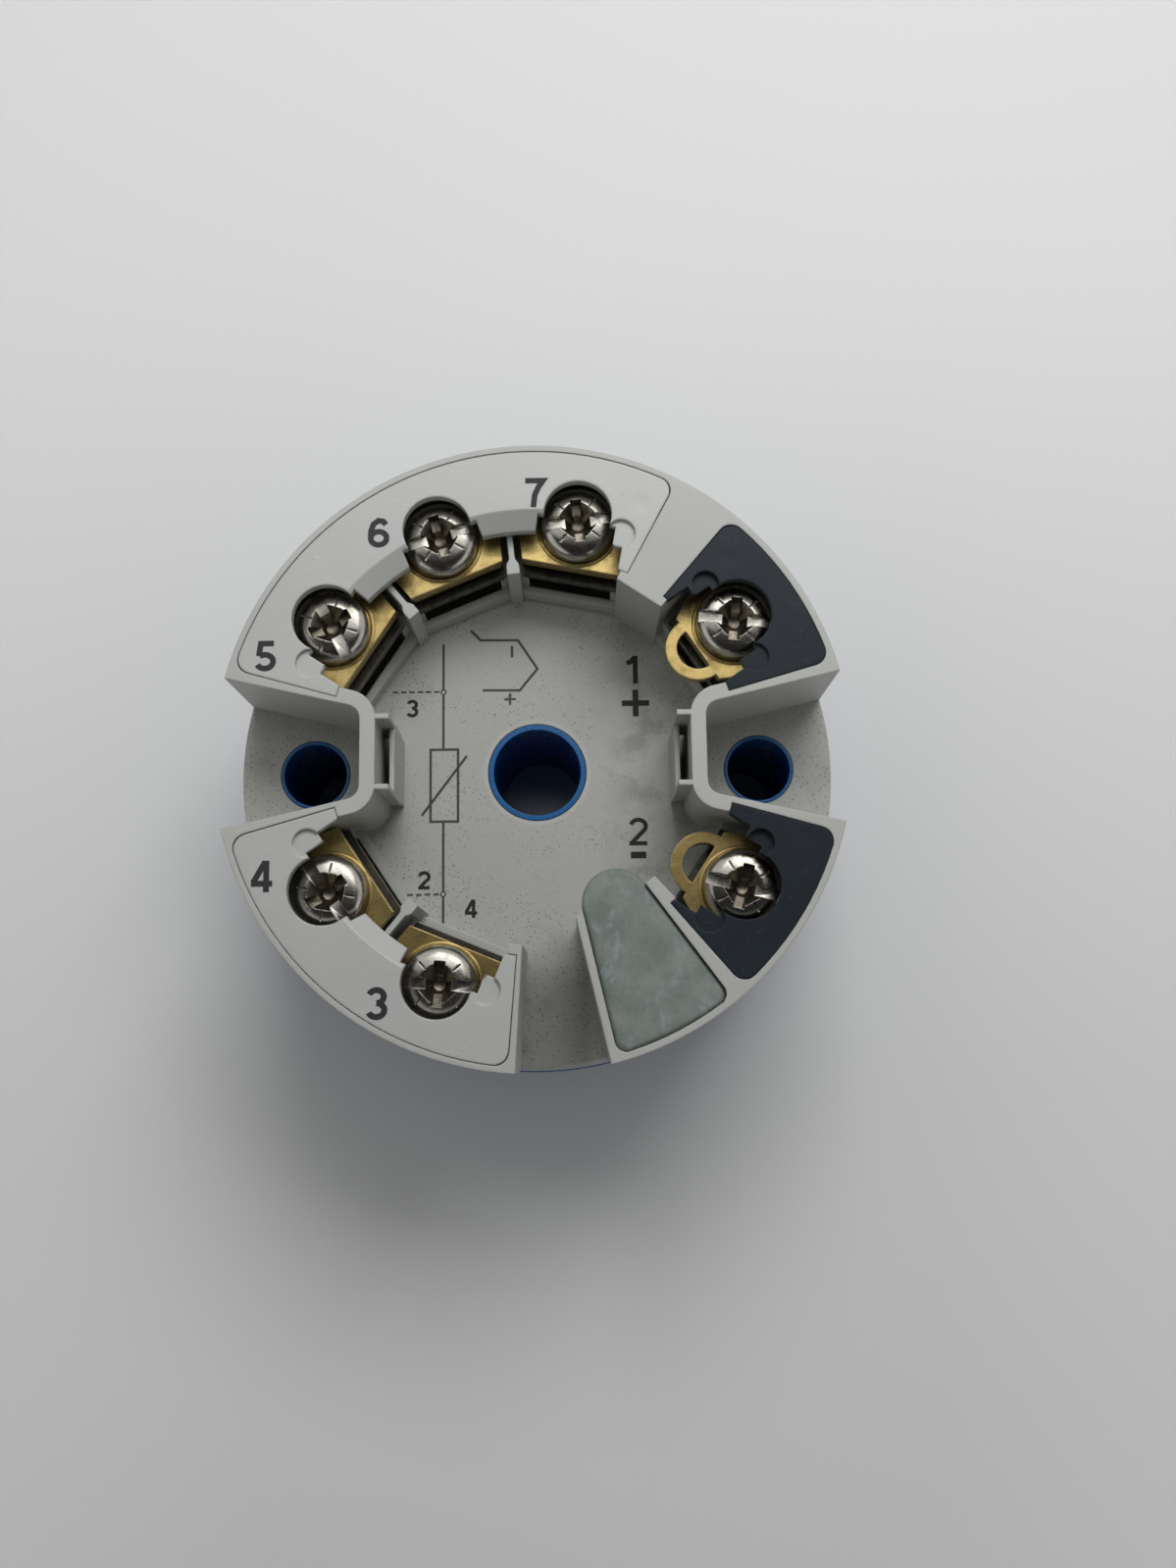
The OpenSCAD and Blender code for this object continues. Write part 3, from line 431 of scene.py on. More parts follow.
def linked(name, data):
    """A new object with this mesh, lamp or lens, in the scene."""
    obj = bpy.data.objects.new(name, data)
    bpy.context.scene.collection.objects.link(obj)
    return obj


def mesh_piece(name, verts, faces, finish):
    mesh = bpy.data.meshes.new(name)
    mesh.from_pydata(verts, [], faces)
    mesh.materials.append(finish)
    return linked(name, mesh)


def shape_mesh(name, shape, finish):
    """A mesh with the form of the bmesh shape, which is used up."""
    mesh = bpy.data.meshes.new(name)
    shape.to_mesh(mesh)
    shape.free()
    mesh.materials.append(finish)
    return mesh


def smooth_piece(name, mesh, sharp=None):
    """A piece with smooth faces, whose edges stay sharp past this angle in degrees."""
    mesh.shade_smooth()
    if sharp:
        mesh.set_sharp_from_angle(angle=math.radians(sharp))
    return linked(name, mesh)


def settled(obj):
    """The object with its modifiers worked into a plain mesh."""
    seen = obj.evaluated_get(bpy.context.evaluated_depsgraph_get())
    mesh = bpy.data.meshes.new_from_object(seen)
    obj.modifiers.clear()
    old = obj.data
    obj.data = mesh
    if old.users == 0:
        bpy.data.meshes.remove(old)
    return obj


def on_circle(radius, angle):
    return radius * Vector((math.cos(angle), math.sin(angle)))


# Rubber plug, in millimetres and radians: u runs outwards along its middle and v across it
PLUG_TURN = math.radians(-65.45)
PLUG_SHIFT = 0.625
PLUG_FLARE = math.radians(11.6)
PLUG_HALF = 2.09
PLUG_HALF_AT = 10.9
PLUG_NOSE = 11.9
PLUG_R = 21.30
PLUG_CORNER = 0.8
CORNER_STEPS = 7
SIDE_STEPS = 12
ARC_STEPS = 20

# Its pad as insets at heights over the foot or under the top, and the tongue below it
PAD_H = 2.2
PAD_SIDE = -0.085
PAD_FOOT = [(0.45, 0), (0.12, 0.03), (0.02, 0.12), (0.0, 0.3), (PAD_SIDE, 0.5)]
PAD_ROUND_AT = 0.52
PAD_ROUND_IN = 0.36
PAD_ROUND_UP = 0.41
PAD_CROWN = [(0.8, 0.07), (1.15, 0.04), (1.45, 0.02)]
TONGUE_AT = 15.6
TONGUE_SIZE = (6.7, 2.3, 1.9)
TONGUE_DROP = 0.93
TONGUE_ROUND = 0.3


def plug_half(u):
    return PLUG_HALF + (u - PLUG_HALF_AT) * math.tan(PLUG_FLARE)


def plug_place(u, v):
    v += PLUG_SHIFT
    return Vector((u * math.cos(PLUG_TURN) - v * math.sin(PLUG_TURN),
                   u * math.sin(PLUG_TURN) + v * math.cos(PLUG_TURN)))


def plug_corner(side, inset):
    """Points round one outer corner, and the turn at which the corner meets the outer arc."""
    grow = -inset - PLUG_CORNER
    slope = side * math.tan(PLUG_FLARE)
    lift = PLUG_SHIFT + side * (plug_half(0) + grow / math.cos(PLUG_FLARE))
    r = PLUG_R - inset - PLUG_CORNER
    u = (math.sqrt(r * r * (1 + slope * slope) - lift * lift) - lift * slope) / (1 + slope * slope)
    centre = plug_place(u, side * (plug_half(u) + grow / math.cos(PLUG_FLARE)))
    start = PLUG_TURN + side * (math.pi / 2 + PLUG_FLARE)
    end = math.atan2(centre.y, centre.x)
    turns = [start + (end - start) * k / CORNER_STEPS for k in range(CORNER_STEPS + 1)]
    return [centre + on_circle(PLUG_CORNER, turn) for turn in turns], end


def plug_outline(inset):
    """Outline of the plug moved inwards by inset, in millimetres, always with as many points."""
    left, left_end = plug_corner(-1, inset)
    right, right_end = plug_corner(1, inset)
    nose = plug_place(PLUG_NOSE, 0)
    nose_r = plug_half(PLUG_NOSE) * math.cos(PLUG_FLARE) - inset
    half = math.pi / 2 - PLUG_FLARE
    round_nose = [PLUG_TURN + math.pi - half + 2 * half * k / ARC_STEPS for k in range(ARC_STEPS + 1)]
    outer_arc = [left_end + (right_end - left_end) * k / ARC_STEPS for k in range(1, ARC_STEPS)]
    points = [nose + on_circle(nose_r, turn) for turn in round_nose]
    points += [points[-1].lerp(left[0], k / SIDE_STEPS) for k in range(1, SIDE_STEPS)] + left
    points += [on_circle(PLUG_R - inset, turn) for turn in outer_arc] + right[::-1]
    points += [right[0].lerp(points[0], k / SIDE_STEPS) for k in range(1, SIDE_STEPS)]
    return points


def plug_pad(top):
    """The pad under the plug's top: rounded below, rounded more above, with a slight crown."""
    bottom = top - PAD_H
    round_z = top - PAD_ROUND_AT
    quarter = [math.pi / 2 * k / CORNER_STEPS for k in range(1, CORNER_STEPS + 1)]
    steps = [(inset, bottom + z) for inset, z in PAD_FOOT] + [(PAD_SIDE, round_z)]
    steps += [(PAD_ROUND_IN * (1 - math.cos(a)) + PAD_SIDE, round_z + PAD_ROUND_UP * math.sin(a))
              for a in quarter]
    steps += [(inset, top - drop) for inset, drop in PAD_CROWN]
    rings = [[(p.x * MM, p.y * MM, z * MM) for p in plug_outline(inset)] for inset, z in steps]
    count = len(rings[0])
    last = (len(rings) - 1) * count
    faces = [(low + i, low + (i + 1) % count, low + count + (i + 1) % count, low + count + i)
             for low in range(0, last, count) for i in range(count)]
    faces += [tuple(range(count))[::-1], tuple(last + i for i in range(count))]
    pad = mesh_piece("plug_pad", [p for ring in rings for p in ring], faces, FINISHES["plug_rubber"])
    shape = bmesh.new()
    shape.from_mesh(pad.data)
    bmesh.ops.recalc_face_normals(shape, faces=shape.faces)
    bmesh.ops.triangulate(shape, faces=[f for f in shape.faces if len(f.verts) > 4])
    shape.to_mesh(pad.data)
    shape.free()
    pad.data.shade_smooth()
    return pad


def plug_tongue(foot):
    """The block under the pad that fills the connector's mouth, from the pad's foot down."""
    spot = plug_place(TONGUE_AT, 0) * MM
    hang = Matrix.Translation((spot.x, spot.y, foot * MM)) @ Matrix.Rotation(PLUG_TURN, 4, "Z")
    size = Matrix.Diagonal((*(v * MM for v in TONGUE_SIZE), 1))
    block = bmesh.new()
    bmesh.ops.create_cube(block, size=1, matrix=hang @ Matrix.Translation((0, 0, -TONGUE_DROP * MM)) @ size)
    bmesh.ops.bevel(block, geom=block.edges[:], offset=TONGUE_ROUND * MM, segments=3, profile=0.5,
                    affect="EDGES")
    return smooth_piece("plug_tongue", shape_mesh("plug_tongue", block, FINISHES["plug_rubber"]))


plug_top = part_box("service_plug")[1][2] / MM
pad = plug_pad(plug_top)
kept(plug_tongue(plug_top - PAD_H), "plug", "plug_rubber")
kept(pad, "plug", "plug_rubber", "service_plug")


# Geometry Nodes: a coil for the threads, and a row of one small item for the dashes and the chips' legs
FLOAT = "NodeSocketFloat"
COUNT = "NodeSocketInt"
FINISH = "NodeSocketMaterial"
PLACE = "NodeSocketVector"


def geometry_tree(name, inputs):
    """An empty Geometry Nodes tree with named inputs of these kinds, and short ways to fill it."""
    tree = bpy.data.node_groups.new(name, "GeometryNodeTree")
    tree.interface.new_socket("Geometry", in_out="INPUT", socket_type="NodeSocketGeometry")
    tree.interface.new_socket("Geometry", in_out="OUTPUT", socket_type="NodeSocketGeometry")
    for label, kind in inputs.items():
        tree.interface.new_socket(label, in_out="INPUT", socket_type=kind)
    given = tree.nodes.new("NodeGroupInput")
    result = tree.nodes.new("NodeGroupOutput")

    def add(kind, settings=None, **values):
        made = tree.nodes.new(kind)
        for key, value in (settings or {}).items():
            setattr(made, key, value)
        for key, value in values.items():
            socket = made.inputs[key.replace("_", " ")]
            if isinstance(value, bpy.types.NodeSocket):
                tree.links.new(value, socket)
            else:
                socket.default_value = value
        return made

    def end(geometry):
        real = add("GeometryNodeRealizeInstances", Geometry=geometry)
        done = add("GeometryNodeSetMaterial", Geometry=real.outputs[0], Material=given.outputs["Finish"])
        tree.links.new(done.outputs[0], result.inputs[0])

    return tree, given.outputs, add, end


def grown(name, tree, values):
    """A plain mesh piece that the tree makes with these input values."""
    obj = linked(name, bpy.data.meshes.new(name))
    modifier = obj.modifiers.new("grow", "NODES")
    modifier.node_group = tree
    for item in tree.interface.items_tree:
        if item.item_type == "SOCKET" and item.in_out == "INPUT" and item.name in values:
            modifier[item.identifier] = values[item.name]
    obj.update_tag()
    return settled(obj)


def thread_tree():
    tree, given, add, end = geometry_tree("thread_ridge", {
        "Radius": FLOAT, "Pitch": FLOAT, "Turns": FLOAT, "Ridge": FLOAT, "Foot": PLACE, "Finish": FINISH})
    rise = add("ShaderNodeMath", {"operation": "MULTIPLY"})
    tree.links.new(given["Pitch"], rise.inputs[0])
    tree.links.new(given["Turns"], rise.inputs[1])
    coil = add("GeometryNodeCurveSpiral", Resolution=28, Rotations=given["Turns"],
               Start_Radius=given["Radius"], End_Radius=given["Radius"], Height=rise.outputs[0])
    rib = add("GeometryNodeCurvePrimitiveCircle", Resolution=4, Radius=given["Ridge"])
    ridge = add("GeometryNodeCurveToMesh", Curve=coil.outputs[0], Profile_Curve=rib.outputs[0],
                Fill_Caps=True)
    moved = add("GeometryNodeTransform", Geometry=ridge.outputs[0], Translation=given["Foot"])
    end(moved.outputs[0])
    return tree


def row_tree(name, inputs, item):
    """A tree that repeats an item, made by a function of the tree's own, along a straight row."""
    tree, given, add, end = geometry_tree(name, {
        "Count": COUNT, "Start": PLACE, "Step": PLACE, **inputs, "Finish": FINISH})
    row = add("GeometryNodeMeshLine", {"mode": "OFFSET"}, Count=given["Count"],
              Start_Location=given["Start"], Offset=given["Step"])
    spread = add("GeometryNodeInstanceOnPoints", Points=row.outputs[0], Instance=item(add, given).outputs[0])
    end(spread.outputs[0])
    return tree


def dash_item(add, given):
    return add("GeometryNodeMeshGrid", Size_X=given["Long"], Size_Y=given["Wide"], Vertices_X=2, Vertices_Y=2)


def leg_item(add, given):
    return add("GeometryNodeMeshCube", Size=given["Leg"])


THREAD_RIDGE = thread_tree()
DASH_ROW = row_tree("dash_row", {"Long": FLOAT, "Wide": FLOAT}, dash_item)
LEG_ROW = row_tree("leg_row", {"Leg": PLACE}, leg_item)

# Terminal screws, in millimetres from the head's seat and in degrees: outlines give radius and height
HEAD_R = 2.7
HEAD_H = 1.8
HEAD_CROWN_R = 8
HEAD_STEPS = 72
HEAD_ROUND = 0.06
HEAD_ROUND_PAST = 32
HEAD_SHARP = 28
HEAD_FOOT = [(0, 0), (HEAD_R - 0.12, 0), (HEAD_R - 0.02, 0.06), (HEAD_R, 0.18)]
HEAD_SHOULDER = [(0, 1.18), (0.02, 0.98), (0.08, 0.79), (0.17, 0.63), (0.28, 0.50), (0.40, 0.40),
                 (0.55, 0.315)]
HEAD_CROWN = (2.0, 1.8, 1.6, 1.4, 1.2, 0.8, 0.4)
RECESS_OUTLINE = [(0, HEAD_H - 1.72), (0.45, HEAD_H - 1.60), (1.42, HEAD_H), (1.72, HEAD_H + 0.5),
                  (0, HEAD_H + 0.5)]
RECESS_STEPS = 8
RECESS_TURN = 22.5
SLOT_CUT = {"length": 6.4, "width": 0.85, "depth": 0.75, "taper": 0.03}
CROSS_CUT = {"length": 3.2, "width": 0.90, "depth": 1.15, "taper": 0.14}
TICK_CUT = {"length": 0.80, "width": 0.17, "depth": 0.42, "taper": 0.05}
TICK_AT = 1.66
TICK_TURNS = (45, 135, 225, 315)
CUT_ABOVE = 0.6
SHANK_STEPS = 32
SHANK_SHARP = 35
SHANK = [(0, -7.0), (0.95, -7.0), (1.24, -6.7), (1.24, -0.25), (1.34, -0.1), (1.6, 0.02), (0, 0.02)]
COLLAR = [(2.72, 0.0), (2.98, 0.0), (3.0, 0.03), (2.94, 0.09), (2.78, 0.09), (2.72, 0.05), (2.72, 0.0)]
COLLAR_SINK = 0.015
THREAD_R = 1.33
THREAD_PITCH = 0.5
THREAD_TURNS = 12.4
THREAD_RIB = 0.16
THREAD_FOOT = 6.6


def turned_shape(points, steps):
    """A closed shape turned about Z in this many steps."""
    made = bmesh.new()
    rows = []
    for r, z in points:
        angles = [2 * math.pi * k / steps for k in range(steps if r else 1)]
        rows.append([made.verts.new((r * MM * math.cos(a), r * MM * math.sin(a), z * MM)) for a in angles])
    for low, high in zip(rows, rows[1:]):
        for k in range(steps):
            a, b = low[k % len(low)], low[(k + 1) % len(low)]
            c, d = high[(k + 1) % len(high)], high[k % len(high)]
            corners = list(dict.fromkeys((a, b, c, d)))
            if len(corners) > 2:
                made.faces.new(corners)
    bmesh.ops.recalc_face_normals(made, faces=made.faces)
    return made


def wedge_cut(length, width, depth, taper):
    """A cutter box whose walls lean in towards its foot, with its top above the head."""
    made = bmesh.new()
    bmesh.ops.create_cube(made, size=1)
    for v in made.verts:
        low = v.co.z < 0
        v.co.x *= (length - (2 * taper if low else 0)) * MM
        v.co.y *= (width - (2 * taper if low else 0)) * MM
        v.co.z = (HEAD_H - depth if low else HEAD_H + CUT_ABOVE) * MM
    return made


def screw_head_mesh():
    """The head at the origin, its slot along X, cut and softened once and then shared by all seven."""
    nickel = FINISHES["nickel"]
    shoulder = [(HEAD_R - inset, HEAD_H - drop) for inset, drop in HEAD_SHOULDER]
    crown = [(r, HEAD_H - r * r / (2 * HEAD_CROWN_R)) for r in HEAD_CROWN]
    head = turned_shape(HEAD_FOOT + shoulder + crown + [(0, HEAD_H)], HEAD_STEPS)
    obj = linked("screw_head_blank", shape_mesh("screw_head", head, nickel))
    # The cross and the cone of the recess take the darker recess finish, whose darkness is painted shade.
    cutters = [(wedge_cut(**SLOT_CUT), 0, 0, nickel), (wedge_cut(**CROSS_CUT), 90, 0, SHADED_RECESS),
               (turned_shape(RECESS_OUTLINE, RECESS_STEPS), RECESS_TURN, 0, SHADED_RECESS)]
    cutters += [(wedge_cut(**TICK_CUT), turn, TICK_AT, nickel) for turn in TICK_TURNS]
    for cutter, turn, out, finish in cutters:
        cutter.transform(Matrix.Rotation(math.radians(turn), 4, "Z") @ Matrix.Translation((out * MM, 0, 0)))
        tool = linked("cut", shape_mesh("cut", cutter, finish))
        cut = obj.modifiers.new("cut", "BOOLEAN")
        cut.operation = "DIFFERENCE"
        cut.solver = "EXACT"
        cut.material_mode = "TRANSFER"
        cut.object = tool
        settled(obj)
        used = tool.data
        bpy.data.objects.remove(tool)
        bpy.data.meshes.remove(used)
    soft = obj.modifiers.new("soft", "BEVEL")
    soft.width = HEAD_ROUND * MM
    soft.segments = 2
    soft.limit_method = "ANGLE"
    soft.angle_limit = math.radians(HEAD_ROUND_PAST)
    settled(obj)
    mesh = obj.data
    bpy.data.objects.remove(obj)
    return mesh


def terminal_screws():
    """For each terminal a head, shank and thread on the screw's body, and a collar on the clamp's."""
    head = screw_head_mesh()
    nickel = FINISHES["nickel"]
    for number, turn in TERM_TURNS.items():
        node = f"terminal_screw_{number}"
        body = f"screw_{number}"
        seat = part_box(node)[1][2] - HEAD_H * MM
        spot = Matrix.Rotation(math.radians(turn), 4, "Z") @ Vector((TERM_R, 0, 0))
        slot_turn = Matrix.Rotation(math.radians(SLOT_TURNS[number]), 4, "Z")
        place = Matrix.Translation((spot.x, spot.y, seat)) @ slot_turn
        top = head.copy()
        top.transform(place)
        kept(smooth_piece(f"screw_head_{number}", top, HEAD_SHARP), body, "nickel", node)
        core = turned_shape(SHANK, SHANK_STEPS)
        core.transform(place)
        name = f"screw_shank_{number}"
        kept(smooth_piece(name, shape_mesh(name, core, nickel), SHANK_SHARP), body, "nickel")
        thread = grown(f"screw_thread_{number}", THREAD_RIDGE, {
            "Radius": THREAD_R * MM, "Pitch": THREAD_PITCH * MM, "Turns": THREAD_TURNS,
            "Ridge": THREAD_RIB * MM, "Foot": (spot.x, spot.y, seat - THREAD_FOOT * MM), "Finish": nickel})
        thread.data.shade_smooth()
        kept(thread, body, "nickel")
        collar = turned_shape(COLLAR, HEAD_STEPS)
        collar.transform(Matrix.Translation((spot.x, spot.y, seat - COLLAR_SINK * MM)))
        name = f"clamp_collar_{number}"
        kept(smooth_piece(name, shape_mesh(name, collar, FINISHES["brass"])), f"clamp_{number}", "brass")
    bpy.data.meshes.remove(head)


terminal_screws()


# Printed marks: numbers, signs and the small wiring diagram, each a thin print on its surface, and one faint
# line of painted shade along a moulded edge on the deck
def print_finish(name, ink, paper, gaps):
    """Laser marking that thins out in places and lets a little of the plastic through."""
    f = Finish(name)
    thin = f.noise(0.35 * MM, 4, 0.7).ramp(gaps, gaps + 0.25)
    base = f.coats(
        f.blend(f.noise(1.5 * MM, 3), ink, tuple(v * 1.35 for v in ink)),
        gaps=(thin * 0.4, paper))
    f.shader.inputs["Specular IOR Level"].default_value = 0.25
    return f.wear(Base_Color=base, Roughness=0.5 + 0.1 * thin, Normal=f.bump(thin, 0.01 * MM, 0.4))


PLATE_INK = print_finish("plate_marking", (0.027, 0.027, 0.028), (0.34, 0.34, 0.34), 0.62)
DECK_INK = print_finish("deck_marking", (0.019, 0.017, 0.014), (0.20, 0.20, 0.18), 0.60)
LINE_INK = print_finish("diagram_marking", (0.048, 0.048, 0.044), (0.24, 0.24, 0.22), 0.56)
# Not a print: a faint darker line that is painted shade along a moulded edge on the deck
EDGE_SHADE_INK = print_finish("moulded_edge_shade_line", (0.34, 0.345, 0.325), (0.43, 0.435, 0.41), 0.40)
PRINT = 0.006 * MM
PRINT_STEP = 0.002 * MM


def line_shape(points, width, level, closed=False):
    """Corners and faces of a drawn line of even width along points, in millimetres, with mitred corners."""
    points = [Vector(p) for p in points]
    count = len(points)
    verts = []
    for k, p in enumerate(points):
        along = []
        if k or closed:
            along.append((p - points[k - 1]).normalized())
        if k < count - 1 or closed:
            along.append((points[(k + 1) % count] - p).normalized())
        side = sum((Vector((-d.y, d.x)) for d in along), Vector((0, 0))).normalized()
        reach = width / 2 / max(0.3, side.dot(Vector((-along[0].y, along[0].x))))
        verts += [((p.x + s * side.x * reach) * MM, (p.y + s * side.y * reach) * MM, level) for s in (-1, 1)]
    ends = range(count if closed else count - 1)
    return verts, [(2 * k, 2 * ((k + 1) % count), 2 * ((k + 1) % count) + 1, 2 * k + 1) for k in ends]


def drawn(name, lines, width, level, ink, closed=False):
    """One printed piece made of lines, each a hair above the one before where they cross."""
    verts, faces = [], []
    for k, points in enumerate(lines):
        more, sides = line_shape(points, width, level + PRINT + PRINT_STEP * k, closed)
        faces += [tuple(v + len(verts) for v in side)[::-1] for side in sides]
        verts += more
    made = mesh_piece(name, verts, faces, ink)
    if made.data.polygons[0].normal.z < 0:
        made.data.flip_normals()
    return kept(made, "root", "dark_plastic")


def bow(x, y, radius, start, end, steps=18):
    """Points along an arc, from start to end degrees."""
    turns = [math.radians(start + (end - start) * k / steps) for k in range(steps + 1)]
    return [(x + radius * math.cos(a), y + radius * math.sin(a)) for a in turns]


# Strokes of plain grotesque digits, one unit tall
FIGURES = {
    "1": [[(0.06, 0.735), (0.20, 0.79), (0.33, 0.93)], [(0.355, 0), (0.355, 1)]],
    "2": [bow(0.30, 0.69, 0.225, 165, -35) + [(0.11, 0.12)], [(0.02, 0.085), (0.56, 0.085)]],
    "3": [bow(0.29, 0.715, 0.20, 160, -90), bow(0.29, 0.30, 0.215, 90, -160)],
    "4": [[(0.43, 0), (0.43, 1)], [(0.40, 0.97), (0.075, 0.30)], [(0.02, 0.27), (0.60, 0.27)]],
    "5": [[(0.53, 0.915), (0.165, 0.915), (0.115, 0.50)], bow(0.285, 0.315, 0.230, 130, -155)],
    "6": [bow(0.30, 0.31, 0.225, 0, 360, 30),
          [(0.077, 0.31), (0.082, 0.55), (0.15, 0.79), (0.29, 0.912), (0.42, 0.89), (0.505, 0.77)]],
    "7": [[(0.02, 0.915), (0.53, 0.915), (0.40, 0.70), (0.29, 0.42), (0.245, 0)]]}


def figure(name, digit, x, y, tall, level, ink, wide=1.16, bold=0.19):
    """A digit whose middle lies at x, y and whose height is tall, in millimetres."""
    middle = 0.25 if digit == "1" else 0.30
    lines = [[(x + tall * wide * (px - middle), y + tall * (py - 0.5)) for px, py in line]
             for line in FIGURES[digit]]
    return drawn(name, lines, bold * tall, level, ink)


def dashes(name, x0, x1, y, count):
    """A dashed line on the deck, in millimetres."""
    step = (x1 - x0) / count
    made = grown(name, DASH_ROW, {
        "Count": count, "Start": ((x0 + step / 2) * MM, y * MM, DECK_Z + PRINT), "Step": (step * MM, 0, 0),
        "Long": DASH_SHARE * step * MM, "Wide": DASH_W * MM, "Finish": LINE_INK})
    return kept(made, "root", "dark_plastic")


# Places and sizes of the marks, in millimetres
DASH_SHARE = 0.66
DASH_W = 0.15
PLATE_DIGIT_H = 2.14
PIN_DIGIT_H = 1.34
PLATE_DIGITS = {"5": (-18.45, 6.8), "6": (-10.7, 15.6), "7": (0.29, 18.4), "3": (-10.55, -17.1),
                "4": (-18.4, -8.5)}
PIN_DIGITS = {"3": (-9.33, 5.0), "2": (-8.4, -7.95), "4": (-4.97, -10.1)}
SENSOR_X = -7.0
SENSOR_RUNS = [(9.95, 6.42), (6.02, 1.82), (-3.61, -8.80), (-9.20, -11.17)]
SENSOR_BOX = [(-7.95, 1.82), (-5.91, 1.82), (-5.91, -3.61), (-7.95, -3.61)]
COUPLE_LINE = [(-4.94, 10.99), (-4.20, 10.21), (-1.38, 10.18), (0.08, 7.94), (-1.26, 6.29), (-4.06, 6.33)]
MOULDED_EDGE = [(-5.80, 2.50), (-4.50, 2.50), (-4.50, -2.30), (-5.80, -2.30)]
RING_R = 0.18
DIAGRAM_W = 0.19

for digit, (x, y) in PLATE_DIGITS.items():
    figure("plate_number_" + digit, digit, x, y, PLATE_DIGIT_H, PLATE_Z, PLATE_INK)
figure("deck_number_1", "1", 7.23, 7.77, 2.16, DECK_Z, DECK_INK, wide=1.0, bold=0.17)
figure("deck_number_2", "2", 7.45, -4.55, 2.12, DECK_Z, DECK_INK, bold=0.15)
for digit, (x, y) in PIN_DIGITS.items():
    figure("pin_number_" + digit, digit, x, y, PIN_DIGIT_H, DECK_Z, DECK_INK)
drawn("plus_sign", [[(6.40, 5.19), (8.46, 5.19)], [(7.43, 4.17), (7.43, 6.22)]], 0.44, DECK_Z, DECK_INK)
drawn("minus_sign", [[(6.85, -6.30), (8.00, -6.30)]], 0.50, DECK_Z, DECK_INK)
drawn("sensor_line", [[(SENSOR_X, y0), (SENSOR_X, y1)] for y0, y1 in SENSOR_RUNS], 0.18, DECK_Z, LINE_INK)
drawn("sensor_box", [SENSOR_BOX], DIAGRAM_W, DECK_Z, LINE_INK, closed=True)
drawn("sensor_slash", [[(-8.60, -3.15), (-5.25, 1.32)]], DIAGRAM_W, DECK_Z + 2 * PRINT, LINE_INK)
drawn("couple_line", [COUPLE_LINE], DIAGRAM_W, DECK_Z, LINE_INK)
drawn("couple_minus", [[(-1.83, 9.75), (-1.83, 8.85)]], DIAGRAM_W, DECK_Z, LINE_INK)
drawn("couple_plus", [[(-2.44, 5.62), (-1.56, 5.62)], [(-2.0, 5.18), (-2.0, 6.06)]], 0.17, DECK_Z, LINE_INK)
drawn("joint_rings", [bow(SENSOR_X, y, RING_R, 0, 345, 23) for y in (6.22, -9.0)], 0.10, DECK_Z,
      LINE_INK, closed=True)
# Painted shade along the moulded edge, drawn like a print
drawn("moulded_edge_shade_line", [MOULDED_EDGE], 0.07, DECK_Z, EDGE_SHADE_INK)
dashes("dashes_upper", -10.92, -7.2, 6.25, 6)
dashes("dashes_lower", -10.38, -7.2, -9.02, 5)

# Legs of the two chips, in millimetres
LEG_W = 0.26
LEG_L = 0.75
LEG_H = 0.16
LEG_OUT = 0.3
LEG_RISE = 0.09


def chip_legs(node, count, sides):
    low, high = (Vector(v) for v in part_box(node))
    for axis, sign in sides:
        along = "xy".index(axis)
        far = sign == "+"
        step = (high[along] - low[along]) / (count + 1)
        start = Vector((low.x, low.y, low.z + LEG_RISE * MM))
        start[along] += step
        start[1 - along] = (high if far else low)[1 - along] + (LEG_OUT if far else -LEG_OUT) * MM
        move = Vector((0, 0, 0))
        move[along] = step
        size = Vector((LEG_L * MM, LEG_L * MM, LEG_H * MM))
        size[along] = LEG_W * MM
        name = f"{node}_legs_{axis}{'far' if far else 'near'}"
        made = grown(name, LEG_ROW, {
            "Count": count, "Start": tuple(start), "Step": tuple(move), "Leg": tuple(size),
            "Finish": FINISHES["nickel"]})
        kept(made, "root", "nickel")


chip_legs("controller_chip", 8, ("x+", "x-", "y+", "y-"))
chip_legs("converter_chip", 7, ("y+", "y-"))

# Floor, light and camera, in metres and degrees, and the cards' heights, spans and sizes in millimetres
FLOOR_HALF = 1.6
WALL_TONE = (0.68, 0.69, 0.69)
CARD_TONE = 0.02
CARD_Z = 129
CARD_SPANS = {
    "phone_card": (-42, 48, -130, 18), "south_card": (-42, 48, -235, -130),
    "left_card": (-110, -42, -235, 18), "right_card": (48, 120, -235, 18)}
BODY_CARD_AT = (0, -240, 68)
BODY_CARD_SIZE = (230, 122)
CAMERA_AT = (3.2015 * MM, -19.365 * MM, 109.708 * MM + DECK_Z)
CAMERA_TURNS = (-9.54086, 0.29570, 0.83865)
FOCAL_PIXELS = 1523
PHOTO_HEIGHT = 1599
SENSOR_WIDTH = 36


def floor():
    f = Finish("pale_floor")
    fine = f.noise(0.9 * MM, 3)
    base = f.blend(f.noise(0.12, 2), (0.655, 0.662, 0.654), (0.700, 0.706, 0.698))
    f.wear(Base_Color=base, Roughness=0.62 + 0.05 * fine, Normal=f.bump(fine, 0.004 * MM, 0.3))
    f.shader.inputs["Specular IOR Level"].default_value = 0.2
    corners = [(x * FLOOR_HALF, y * FLOOR_HALF, 0) for x, y in ((-1, -1), (1, -1), (1, 1), (-1, 1))]
    table = mesh_piece("floor", corners, [(0, 1, 2, 3)], f.material)


class Sky(Finish):
    """The room round the object, as the world's background."""

    def __init__(self, name):
        self.material = world = bpy.data.worlds.new(name)
        world.use_nodes = True
        self.tree = world.node_tree
        self.shader = self.tree.nodes["Background"]
        self.place = self.node("ShaderNodeTexCoord", {}, {}, "Generated")
        bpy.context.scene.world = world


